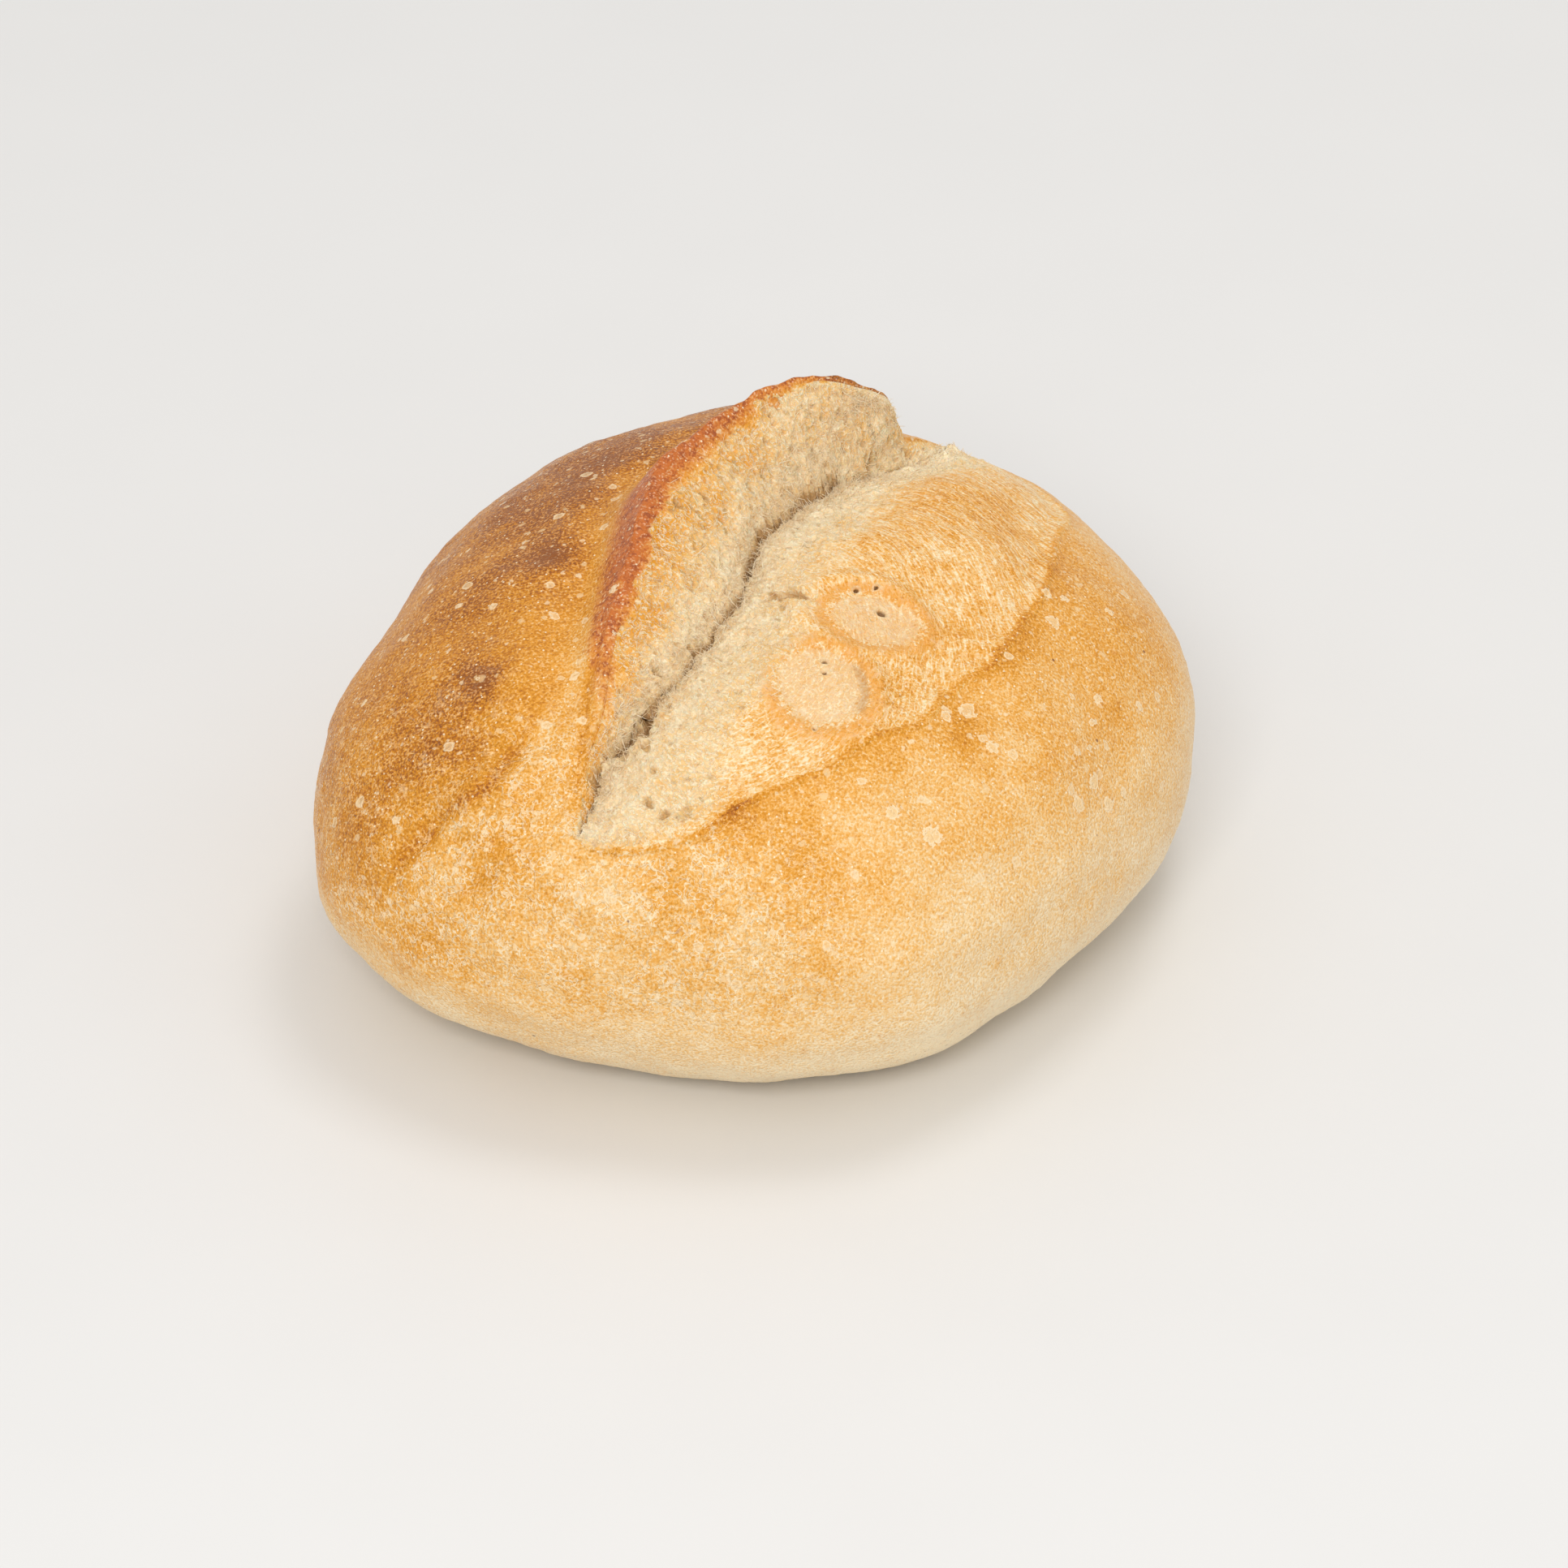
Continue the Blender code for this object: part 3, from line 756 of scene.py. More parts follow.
def bedShift(s, w, onTop):
    # the loaf's own skin lies lower under the piece in the opened score, and further into the ear
    inset = sheetInset(s, w)
    start = np.minimum(crust["bedStart"], 0.3 * faceReach(s))
    depth = crust["bedDepth"] * ease((inset - start) / crust["bedSlope"])
    deeper, width, slope = crust["bedTrench"]
    trench = deeper * hump((w - seamAt(s)) / width) * ease((inset - start) / slope)
    intoEar = onTop * depth * ease((seamAt(s) - w) / crust["bedIntoEar"])
    span, past, width = crust["bedFarEnd"]
    fromEnd = onTop * depth * within((span,), s) * ease((seamAt(s) + past - w) / width)
    shift = (onTop * (depth + trench))[..., None] * -upward
    return shift - intoEar[..., None] * across - fromEnd[..., None] * along


def columnAngle(endAngle, line):
    # angle round the axis at which each ring crosses a line drawn across the score
    angle = np.full_like(endAngle, 0.1)
    for _ in range(12):
        point = domePoint(directionOf(endAngle, angle))
        angle = np.arctan2(line(point @ along), point[..., 2])
    return angle


def columnsBetween(stops, counts):
    # columns at even steps from each stop to the next, without the last stop itself
    columns = []
    for start, stop, count in zip(stops, stops[1:], counts):
        columns += [start + (stop - start) * k / count for k in range(count)]
    return columns


def columnAngles(endAngle):
    seam = columnAngle(endAngle, seamAt)
    reach = np.linalg.norm(domePoint(directionOf(endAngle, seam)), axis=-1) * np.sin(endAngle)
    limits = crust["angleLimits"]
    lip = np.maximum(columnAngle(endAngle, lipAt), seam - limits["lip"])
    flank = lip - np.minimum(score["troughSetback"] / reach, limits["trough"])
    beyond = flank - np.minimum(score["troughWidth"] / reach, limits["trough"])
    edge = np.maximum(columnAngle(endAngle, lambda s: sheetBorders(s)[1]), seam + limits["edge"])
    lipPast = np.minimum(np.minimum(crust["lipReach"] / reach, 0.25 * (seam - lip)), limits["past"])
    edgePast = np.minimum(crust["edgeReach"] / reach, limits["past"])
    below = np.full_like(endAngle, math.pi)
    foot = np.full_like(endAngle, crust["footAngle"])
    side = np.full_like(endAngle, crust["sideAngle"])
    stops = (-below, -foot, -side, beyond, flank, lip, lip + lipPast,
             edge - edgePast, edge, side, foot, below)
    angles = np.stack(columnsBetween(stops, crust["columns"]), axis=-1)
    even = np.linspace(-math.pi, math.pi, angles.shape[1], endpoint=False)
    gather = within((crust["evenEnds"],), np.sin(endAngle))[:, None]
    return even + (angles - even) * gather


def addMesh(name, points, faces, fields):
    # faces is a list of arrays, each with the corners of faces of one kind
    mesh = bpy.data.meshes.new(name)
    mesh.vertices.add(len(points))
    mesh.vertices.foreach_set("co", points.astype(np.float32).ravel())
    corners = np.concatenate([f.ravel() for f in faces]).astype(np.int32)
    sizes = np.concatenate([np.full(len(f), f.shape[1]) for f in faces]).astype(np.int32)
    mesh.loops.add(len(corners))
    mesh.loops.foreach_set("vertex_index", corners)
    mesh.polygons.add(len(sizes))
    mesh.polygons.foreach_set("loop_start", (np.cumsum(sizes) - sizes).astype(np.int32))
    mesh.update(calc_edges=True)
    if mesh.validate():
        raise ValueError("the mesh of " + name + " has bad faces")
    mesh.shade_smooth()
    for field, values in fields.items():
        kind, part = ("FLOAT", "value") if values.ndim == 1 else ("FLOAT_VECTOR", "vector")
        layer = mesh.attributes.new(field, kind, "POINT")
        layer.data.foreach_set(part, values.astype(np.float32).ravel())
    piece = bpy.data.objects.new(name, mesh)
    bpy.context.scene.collection.objects.link(piece)
    return piece


def gridFaces(rows, columns, closed):
    # four-sided faces of a grid; closed joins its last column to its first
    last = columns if closed else columns - 1
    row, column = np.meshgrid(np.arange(rows - 1), np.arange(last), indexing="ij")
    after = (column + 1) % columns
    corners = (row * columns + column, row * columns + after,
               (row + 1) * columns + after, (row + 1) * columns + column)
    return np.stack(corners, axis=-1).reshape(-1, 4)


def crestAt(s, w):
    # browned band along the ear's lip
    outside = w < lipAt(s)
    reach = np.where(outside, readLine(ear["crestOuter"], s), readLine(ear["crestInner"], s))
    gap = np.where(outside, lipAt(s) - w, (w - lipAt(s)) * faceStretch(s))
    return readLine(ear["crest"], s) * np.exp(-((gap / np.maximum(reach, ear["crestLeast"])) ** 3))


def burnAt(point):
    # small red-brown scorches
    burn = np.zeros(point.shape[:-1])
    for *place, radius, amount in browning["burns"]:
        burn = np.maximum(burn, amount * bell(gapTo(point, *place) / radius))
    return burn


def blisterShadeAt(s, w):
    # greyish crescent inside the far border of the near blister
    toward, place, width, sides = bloom["shade"]
    sMiddle, wMiddle = bloom["windows"][0][:2]
    away = np.hypot(s - sMiddle, w - wMiddle) + 1e-6
    side = ((s - sMiddle) * toward[0] + (w - wMiddle) * toward[1]) / away
    border = nearestOval(s, w, bloom["windows"][:1])
    return bell((border - place) / width) * within((sides,), side)


def skinFields(point, s, w, height):
    toast = toastAt(point, s, w, height) + browning["burnToast"] * burnAt(point)
    onTop = ease((height - form["widestHeight"]) / score["drop"])
    past = w - bloomEdgeAt(s)
    onBloom = onTop * ease(0.5 - past / 0.001) * ease((w - seamAt(s)) / bloom["skinWidth"]) * alongFade(s)
    for amount, *spans in bloom["paler"]:
        toast -= amount * onBloom * within(spans, s, past)
    for amount, place, width, span in bloom["edgeLines"]:
        toast += amount * onTop * bell((past - place) / width) * within((span,), s)
    amount, width = bloom["paleByCrumb"]
    toast -= amount * onBloom * bell((w - readLine(opened["crumbEdge"], s)) / width)
    reach = nearestOval(s, w, bloom["windows"])
    return {
        "toast": toast,
        "crest": onTop * crestAt(s, w),
        "spots": spotReach(point),
        "crinkle": crinkleAt(point, s, w, height),
        "bloomSkin": onBloom,
        "blister": np.where(onTop > 0.5, reach, 3.0),
        "shade": onTop * blisterShadeAt(s, w),
    }


def makeLoafCrust():
    endAngle = math.pi * np.arange(1, crust["rings"] + 1) / (crust["rings"] + 1)
    angles = columnAngles(endAngle)
    ringAngle = np.broadcast_to(endAngle[:, None], angles.shape)
    directions = directionOf(ringAngle, angles).reshape(-1, 3)
    ends = directionOf(np.array((0.0, math.pi)), np.zeros(2))
    directions = np.concatenate((directions, ends))
    smooth, _, _, _ = loafSurface(directions, lambda *place: 0.0)
    cadMiddle = (np.array(cadLow) + np.array(cadHigh)) / 2.0
    shift = (smooth.min(axis=0) + smooth.max(axis=0)) / 2.0 - cadMiddle
    shift[2] = 0.0
    point, s, w, onTop = loafSurface(directions, skinRelief)
    plain = domePoint(directions)
    fields = skinFields(plain, s, w, point[:, 2])
    depth, size = crust["basePits"]
    under = ease(1.0 - point[:, 2] / 0.001)
    point[:, 2] += depth * under * (0.5 + 0.5 * noise(point, size, 48))
    point += bedShift(s, w, onTop)
    columns = angles.shape[1]
    count = len(endAngle) * columns
    k = np.arange(columns)
    after = (k + 1) % columns
    lastRing = count - columns
    front = np.stack((np.full(columns, count), after, k), axis=-1)
    back = np.stack((np.full(columns, count + 1), lastRing + k, lastRing + after), axis=-1)
    faces = [gridFaces(len(endAngle), columns, True), front, back]
    return addMesh("loafCrust", point - shift, faces, fields), shift


def crackAt(s):
    # middle and half-width of the crack along the score, uneven as it tore
    place = flatPlace(s)
    narrow, wide = opened["crackWidth"]
    openness = np.clip(readLine(opened["crackOpen"], s) + noises(place, opened["crackUneven"]), 0.0, 1.0)
    atLip = within((opened["crackToLip"],), s)
    always, nearEnd, span = opened["crackPastSeam"]
    pastSeam = always + nearEnd * within((span,), s)
    middle = (1.0 - atLip) * (seamAt(s) + pastSeam) + atLip * (lipAt(s) + opened["crackPastLip"])
    middle += noises(place, opened["crackWaver"]) * (1.0 - 0.7 * atLip)
    half = (narrow + (wide - narrow) * openness) * (1.0 - 0.35 * atLip)
    return middle, half * within(opened["crackSpans"], s, s)


def scoreGrid():
    # places (s, w) in rows across the score, closest together at the crack
    s = np.linspace(opened["front"], opened["back"], opened["rows"])
    seam = seamAt(s)
    left, right = sheetBorders(s)
    nearLeft = np.maximum(seam - opened["crackReach"], left + 0.25 * (seam - left))
    nearRight = np.minimum(seam + opened["crackReach"], seam + 0.4 * (right - seam))
    crumb = np.clip(readLine(opened["crumbEdge"], s), nearRight + 0.001, right - 0.0005)
    stops = (left, nearLeft, nearRight, crumb, right)
    w = np.stack(columnsBetween(stops, opened["columns"]) + [right], axis=-1)
    return np.broadcast_to(s[:, None], w.shape).copy(), w


def tornShare(point, s, w):
    # 1 on torn crumb and 0 on baked skin, with an uneven edge between them
    ragged = noises(point, opened["ragged"])
    fades = opened["tornFades"]
    strip = ease((readLine(opened["crumbEdge"], s) + ragged - w) / fades["strip"] + 0.5)
    strip *= ease((bloomEdgeAt(s) - 0.0006 + 0.3 * ragged - w) / fades["edge"])
    reach = faceReach(s)
    start = np.minimum(readLine(opened["tornFrom"], s), 0.35 * reach)
    down = (w - lipAt(s)) * faceStretch(s) - start - ragged * ease(reach / 0.010)
    face = ease(down / fades["face"] + 0.5)
    return np.where(w < seamAt(s), face, strip) * within(opened["tornSpans"], s, s)


def pitsAt(point, grain, s, w):
    # 0 on sound crumb, up to 1 in its holes
    pits = np.zeros_like(s)
    for size, chance, first, growth, soft, seed, share in opened["pits"]:
        gap, number = nearestCell(grain, np.array((*size, 1.0)), seed)
        reach = np.where(number > chance, first + growth * (number - chance), 0.0)
        pits = np.maximum(pits, share * ease((reach - gap) / soft))
    pits *= np.where(w < seamAt(s), 1.0, opened["stripPits"])
    ragged = noises(point, opened["holeRagged"])
    for sHole, wHole, radius in opened["holes"]:
        reach = np.hypot(s - sHole, w - wHole) / (0.8 * radius) + ragged
        pits = np.maximum(pits, ease((0.95 - reach) / 0.6))
    slot = slotReach(s, w) + noises(point, opened["slotRagged"])
    return np.maximum(pits, 0.9 * (1.0 - ease((slot - 0.6) / 0.5)))


def crumbRelief(point, grain, onFace, pits):
    # lumps, fibres that run down the torn face, flakes at the far end, and the holes
    fibres = noise(grain, np.array((0.0010, 0.0032, 1.0)), 65) + 0.6 * noise(point, 0.0013, 66)
    height, size, span = opened["endFlakes"]
    flakes = height * within((span,), grain[..., 0]) * (1.0 - onFace)
    relief = noises(point, opened["lumps"]) + flakes * np.maximum(noise(point, size, 75), 0.0)
    relief += opened["fibre"] * np.where(onFace, 1.0, 0.6) * (1.0 - 2.0 * np.abs(fibres))
    return relief - opened["pitDepth"] * pits


# How golden the crumb is: its shares grow with (nothing, full) along s or up the face.
crumbTone = {
    "base": 0.04,
    "face": 0.39,
    "paleFar": (0.20, (0.005, 0.035)),
    "upTheFace": (0.05, 0.70),
    "faceMottle": ((0.0060, 0.15, 72),),
    "strip": (0.13, 0.016),
    "stripPatches": (0.12, 0.0055),
    "stripPaleFar": (0.07, (-0.030, 0.030)),
    "mottle": ((0.0022, 0.06, 73),),
}


def crumbToastAt(point, s, w):
    # golden towards the ear's lip, pale beside the crack, a little golden towards the skin
    seam = seamAt(s)
    faceShare = np.clip((seam - w) / np.maximum(seam - lipAt(s), 1e-4), 0.0, 1.0)
    paler, span = crumbTone["paleFar"]
    face = (crumbTone["face"] - paler * within((span,), s)) * within((crumbTone["upTheFace"],), faceShare)
    face += noises(point, crumbTone["faceMottle"])
    golden, width = crumbTone["strip"]
    patch, size = crumbTone["stripPatches"]
    strip = golden * ease((w - seam) / width) + patch * np.maximum(noise(point, size, 74), 0.0)
    paler, span = crumbTone["stripPaleFar"]
    strip -= paler * within((span,), s)
    return crumbTone["base"] + np.where(w < seam, face, strip) + noises(point, crumbTone["mottle"])


def streamAt(s, w):
    # the bloom's skin is drawn out in arcs round a point on the score
    sMiddle, wMiddle = opened["streamMiddle"]
    away = np.hypot(s - sMiddle, w - wMiddle)
    turned = np.arctan2(w - wMiddle, s - sMiddle)
    return flatPlace(away, opened["streamRound"] * turned)


def makeOpenedScore(shift):
    s, w = scoreGrid()
    direction = directionAbove(s, w)
    point, s, w, onTop = loafSurface(direction, lambda *place: 0.0)
    plain = domePoint(direction)
    onFace = w < seamAt(s)

    # arc length across the piece, from the seam
    steps = np.linalg.norm(np.diff(point, axis=1), axis=-1)
    arc = np.concatenate((np.zeros((len(s), 1)), np.cumsum(steps, axis=1)), axis=1)
    seamColumn = opened["columns"][0] + opened["columns"][1] // 2
    arc -= arc[:, seamColumn:seamColumn + 1]
    grain = flatPlace(s, arc)

    torn = tornShare(point, s, w)
    pits = pitsAt(point, grain, s, w)
    pore = np.full_like(s, 4.0)
    for sPore, wPore, radius in opened["pores"]:
        pore = np.minimum(pore, np.hypot(s - sPore, w - wPore) / radius)
    pores = within((opened["poreEdge"],), pore)
    relief = torn * crumbRelief(point, grain, onFace, pits)
    stream = streamAt(s, w)
    onBloom = (w > seamAt(s)) * ease((bloomEdgeAt(s) - w) / 0.001)
    streaks = opened["streak"] * onBloom * noise(stream, np.array(opened["streamSize"]), 69)
    relief += (1.0 - torn) * (skinRelief(plain, s, w, onTop) + streaks - opened["poreDepth"] * pores)
    crackW, half = crackAt(s)
    half = half / np.where(w < crackW, faceStretch(s), 1.0)
    fromMiddle = (w + noises(point, opened["crackFray"]) - crackW) / np.maximum(half, 1e-5)
    opening = np.sqrt(np.clip(1.0 - fromMiddle**2, 0.0, 1.0)) * ease(half / 0.0005)
    inset = np.maximum(sheetInset(s, w), 0.0)
    relief *= 1.0 - torn * (1.0 - ease(inset / opened["edgeWidths"]["relief"]))
    relief += opened["raise"] - opened["tuck"] * (1.0 - ease(inset / opened["tuckWidth"]))
    normal = np.cross(np.gradient(point, axis=1), np.gradient(point, axis=0))
    normal /= np.linalg.norm(normal, axis=-1)[..., None]
    point = point + relief[..., None] * normal
    point -= (opened["crackDepth"] * opening)[..., None] * (upward + opened["crackLean"] * across)

    fields = skinFields(plain, s, w, point[..., 2])
    fields["toast"] += (crumbToastAt(point, s, w) - fields["toast"]) * torn
    fields["torn"] = torn
    width, amount, opens = opened["crackShade"]
    shade = amount * bell((w - crackW) / width) * ease(half / opens) * (1.0 + noise(point, 0.0030, 57))
    # painted shade in the crumb's pits and beside the crack
    fields["deep"] = torn * np.maximum(pits, shade)
    fields["crack"] = opening
    fields["pore"] = pore
    fields["grain"] = grain
    fields["stream"] = stream

    # closed underneath by a coarser floor inside the loaf
    step = opened["floorStep"]
    deeper, width = opened["floorTrench"]
    trench = deeper * (opened["crackDepth"] * hump((w - seamAt(s)) / width))
    floor = point - opened["thickness"] * normal - (opened["floorDrop"] + trench)[..., None] * upward
    rows, columns = s.shape
    index = np.arange(rows * columns).reshape(rows, columns)
    floorRows, floorColumns = floor[::step, ::step].shape[:2]
    floorIndex = rows * columns + np.arange(floorRows * floorColumns).reshape(floorRows, floorColumns)
    faces = [gridFaces(rows, columns, False)]
    faces.append(gridFaces(floorRows, floorColumns, False)[:, ::-1] + rows * columns)
    for border, low in ((index[0], floorIndex[0]), (index[-1, ::-1], floorIndex[-1, ::-1]),
                        (index[::-1, 0], floorIndex[::-1, 0]), (index[:, -1], floorIndex[:, -1])):
        walls = [(*border[k * step:(k + 1) * step + 1][::-1], low[k], low[k + 1])
                 for k in range(len(low) - 1)]
        faces.append(np.array(walls))
    points = np.concatenate((point.reshape(-1, 3), floor[::step, ::step].reshape(-1, 3))) - shift
    flat = {}
    for name, values in fields.items():
        kind = (-1, 3) if values.ndim == 3 else (-1,)
        flat[name] = np.concatenate((values.reshape(kind), values[::step, ::step].reshape(kind)))
    piece = addMesh("openedScore", points, faces, flat)
    sound = torn * (1.0 - torn * pits) * (1.0 - 0.7 * opening)
    sound *= ease(inset / opened["edgeWidths"]["strands"])
    return piece, point - shift, normal, sound, s, w


shreds = {
    "count": 8000,
    "length": (0.0008, 0.0021),
    "shortest": 0.4,
    "radius": (0.00007, 0.00014),
    "taper": 0.75,
    "lift": (0.1, 0.7),
    "curl": 0.50,
    "sunk": 0.0001,
    "sides": 3,
    "rings": 4,
    "nearCrack": 0.0045,
    "elsewhere": 0.16,
    "farShorter": 0.5,
    "farSpan": (0.044, 0.054),
    "seed": 11,
}


def makeCrumbShreds(point, normal, sound, s, w):
    random = np.random.RandomState(shreds["seed"])
    closeness = bell((w - seamAt(s)) / shreds["nearCrack"])
    weight = (sound * (shreds["elsewhere"] + closeness)).ravel()
    picks = random.choice(weight.size, shreds["count"], p=weight / weight.sum())
    base = point.reshape(-1, 3)[picks]
    out = normal.reshape(-1, 3)[picks]
    loose = random.normal(size=(len(picks), 3))
    loose -= 0.7 * np.sum(loose * out, axis=1)[:, None] * out
    loose /= np.linalg.norm(loose, axis=1)[:, None]
    curl = random.normal(size=(len(picks), 3))
    length = random.uniform(*shreds["length"], len(picks))
    length *= random.uniform(shreds["shortest"], 1.0, len(picks))
    length *= 1.0 - shreds["farShorter"] * within((shreds["farSpan"],), s.ravel()[picks])
    thick = random.uniform(*shreds["radius"], len(picks))
    first = loose + random.uniform(*shreds["lift"], len(picks))[:, None] * out
    side = np.cross(first, curl)
    side /= np.linalg.norm(side, axis=1)[:, None]
    other = np.cross(first, side)
    other /= np.linalg.norm(other, axis=1)[:, None]
    rings = []
    for k in range(shreds["rings"]):
        t = k / (shreds["rings"] - 1)
        bent = t * first + shreds["curl"] * t * t * curl
        spine = base + length[:, None] * bent - shreds["sunk"] * out
        radius = thick * (1.0 - shreds["taper"] * t)
        for j in range(shreds["sides"]):
            angle = 2.0 * math.pi * j / shreds["sides"]
            rings.append(spine + radius[:, None] * (math.cos(angle) * side + math.sin(angle) * other))
    points = np.stack(rings, axis=1).reshape(-1, 3)
    perStrand = shreds["rings"] * shreds["sides"]
    start = perStrand * np.arange(len(picks))[:, None]
    walls = gridFaces(shreds["rings"], shreds["sides"], True)
    walls = (start[:, None, :] + walls[None, :, :]).reshape(-1, 4)
    k = np.arange(shreds["sides"])
    foot = start + k[::-1]
    tip = start + perStrand - shreds["sides"] + k
    tone = np.repeat(random.uniform(0.0, 1.0, len(picks)), perStrand)
    return addMesh("crumbShreds", points, [walls, foot, tip], {"tone": tone})


class Wire:
    # a shader socket that can be written into sums
    def __init__(self, shader, socket):
        self.shader = shader
        self.socket = socket

    def __add__(self, other):
        return self.shader.maths("ADD", self, other)

    def __sub__(self, other):
        return self.shader.maths("SUBTRACT", self, other)

    def __rsub__(self, other):
        return self.shader.maths("SUBTRACT", other, self)

    def __mul__(self, other):
        return self.shader.maths("MULTIPLY", self, other)

    __radd__ = __add__
    __rmul__ = __mul__


class Shader:
    # one material, built node by node
    def __init__(self, name):
        self.material = bpy.data.materials.new(name)
        self.material.use_nodes = True
        self.tree = self.material.node_tree
        self.tree.nodes.clear()

    def add(self, kind, settings, inputs, output=0):
        # any node: its settings first, then the values or links of its sockets
        node = self.tree.nodes.new(kind)
        for name, value in settings.items():
            if name == "stops":
                while len(node.color_ramp.elements) < len(value):
                    node.color_ramp.elements.new(0.5)
                for element, (place, colour) in zip(node.color_ramp.elements, value):
                    element.position = place
                    element.color = (*colour, 1.0)
            else:
                setattr(node, name, value)
        for name, value in inputs.items():
            if isinstance(value, Wire):
                self.tree.links.new(value.socket, node.inputs[name])
            else:
                node.inputs[name].default_value = value
        return Wire(self, node.outputs[output]) if node.outputs else None

    def maths(self, operation, first, second):
        return self.add("ShaderNodeMath", {"operation": operation}, {0: first, 1: second})

    def place(self):
        return self.add("ShaderNodeTexCoord", {}, {}, "Object")

    def stretched(self, place, second):
        # the same places squeezed along their second axis
        return self.add("ShaderNodeMapping", {}, {"Vector": place, "Scale": (1.0, second, 1.0)})

    def field(self, name, output="Fac"):
        return self.add("ShaderNodeAttribute", {"attribute_name": name}, {}, output)

    def grains(self, place, size, detail, rough=0.5):
        # uneven grain from -0.5 to 0.5, with features of the given size in metres
        sockets = {"Vector": place, "Scale": 1.0 / size, "Detail": detail, "Roughness": rough}
        return self.add("ShaderNodeTexNoise", {}, sockets) - 0.5

    def cells(self, place, size, output):
        # random places about one size apart: the distance to the nearest, or its own colour
        sockets = {"Vector": place, "Scale": 1.0 / size}
        return self.add("ShaderNodeTexVoronoi", {}, sockets, output)

    def specks(self, place, size, low, high):
        # 1 on specks about one size apart and 0 between them
        return 1.0 - self.step(self.cells(place, size, "Distance"), low, high)

    def chosen(self, place, size, share):
        # 1 on a share of the same cells that specks uses
        tint = self.cells(place, size, "Color")
        red = self.add("ShaderNodeSeparateColor", {}, {"Color": tint}, "Red")
        return self.maths("LESS_THAN", red, share)

    def spots(self, place, size, low, high, share):
        # specks on a share of the cells only
        return self.specks(place, size, low, high) * self.chosen(place, size, share)

    def bent(self, place, size, amount):
        # the same places pushed about unevenly, so that round things come out ragged
        tint = self.add("ShaderNodeTexNoise", {}, {"Vector": place, "Scale": 1.0 / size}, "Color")
        push = self.add("ShaderNodeVectorMath", {"operation": "SUBTRACT"}, {0: tint, 1: (0.5, 0.5, 0.5)})
        push = self.add("ShaderNodeVectorMath", {"operation": "SCALE"}, {0: push, "Scale": 2.0 * amount})
        return self.add("ShaderNodeVectorMath", {"operation": "ADD"}, {0: place, 1: push})

    def creases(self, place, size, width):
        # 1 on thin wandering lines
        gap = self.maths("ABSOLUTE", self.grains(place, size, 1.5), 0.0)
        return 1.0 - self.step(gap, 0.3 * width, width)

    def step(self, value, low, high):
        sockets = {"Value": value, "From Min": low, "From Max": high}
        return self.add("ShaderNodeMapRange", {"interpolation_type": "SMOOTHSTEP"}, sockets)

    def mix(self, share, first, second):
        first = first if isinstance(first, Wire) else (*first, 1.0)
        second = second if isinstance(second, Wire) else (*second, 1.0)
        return self.add("ShaderNodeMix", {"data_type": "RGBA"}, {0: share, 6: first, 7: second}, 2)

    def paint(self, colour, *layers):
        # one layer after another over a colour, each a share and the name of its tint
        for share, tint in layers:
            colour = self.mix(share, colour, bake[tint])
        return colour

    def baked(self, toast):
        return self.add("ShaderNodeValToRGB", {"stops": bake["stops"]}, {"Fac": toast})

    def bump(self, height):
        # relief from a height in millimetres
        return self.add("ShaderNodeBump", {}, {"Height": height, "Strength": 1.0, "Distance": 0.001})

    def finish(self, sockets):
        surface = self.add("ShaderNodeBsdfPrincipled", {}, sockets)
        self.add("ShaderNodeOutputMaterial", {}, {"Surface": surface})
        return self.material


# Colours of the bake, linear, from crumb to char.
bake = {
    "stops": (
        (0.00, (0.96, 0.79, 0.52)),
        (0.15, (0.91, 0.66, 0.36)),
        (0.30, (0.88, 0.56, 0.230)),
        (0.45, (0.85, 0.45, 0.115)),
        (0.60, (0.77, 0.335, 0.034)),
        (0.75, (0.64, 0.245, 0.008)),
        (0.88, (0.48, 0.155, 0.006)),
        (1.00, (0.28, 0.080, 0.008)),
    ),
    "crest": (0.54, 0.125, 0.018),
    "crestDark": (0.31, 0.055, 0.016),
    # painted highlight: glints on the crest
    "crestPaintedGlint": (0.86, 0.48, 0.30),
    "crestHalo": (0.72, 0.26, 0.040),
    # pale flecks and spots, and also painted highlights on long wrinkles and round pores
    "paleFleckAndSheen": (0.93, 0.72, 0.45),
    # painted highlight: pale sparkle on wrinkles and tiny specks
    "paintedSparkle": (0.98, 0.83, 0.58),
    "spot": (0.90, 0.65, 0.35),
    "blister": (0.84, 0.61, 0.36),
    "blisterRim": (0.82, 0.37, 0.07),
    "shade": (0.50, 0.30, 0.15),
    "speck": (0.20, 0.06, 0.03),
    # painted shade: pores, hollows, pockets and the crack in the crumb
    "pore": (0.22, 0.11, 0.045),
    "hollowShadeTint": (0.68, 0.43, 0.18),
    "pocketShadeTint": (0.60, 0.37, 0.15),
    "crack": (0.46, 0.25, 0.09),
    "strand": (0.99, 0.87, 0.63),
}


# The skin, in metres. Grains are size and detail, wrinkles are size and width, spots are size,
# the distances (in sizes) over which they fade out, and the share of places that have one.
skinSizes = {
    "coarse": (0.0070, 3.0),
    "medium": (0.0016, 2.0),
    "fine": (0.00050, 2.0),
    "gloss": (0.0011, 2.0),
    # both sorts of wrinkles below, with their patches, mark where pale highlights are painted
    "wrinkles": (0.0013, 0.050),
    "wrinkleSheenPatches": (0.0030, 1.0),
    "longWrinkleSheen": (0.0034, 0.030),
    "longSheenPatches": (0.0030, 2.0),
    "glints": (0.0008, 0.16, 0.32, 0.50),
    "paintedGlintSpecks": (0.0014, 0.11, 0.18, 0.60),
    "bend": (0.0016, 0.0009),
    "larger": (0.0026, 0.13, 0.20, 0.50),
    "middling": (0.0037, 0.15, 0.21, 0.40),
    "ringed": (0.0056, 0.42),
    "dark": (0.0085, 0.030, 0.050, 0.6),
}


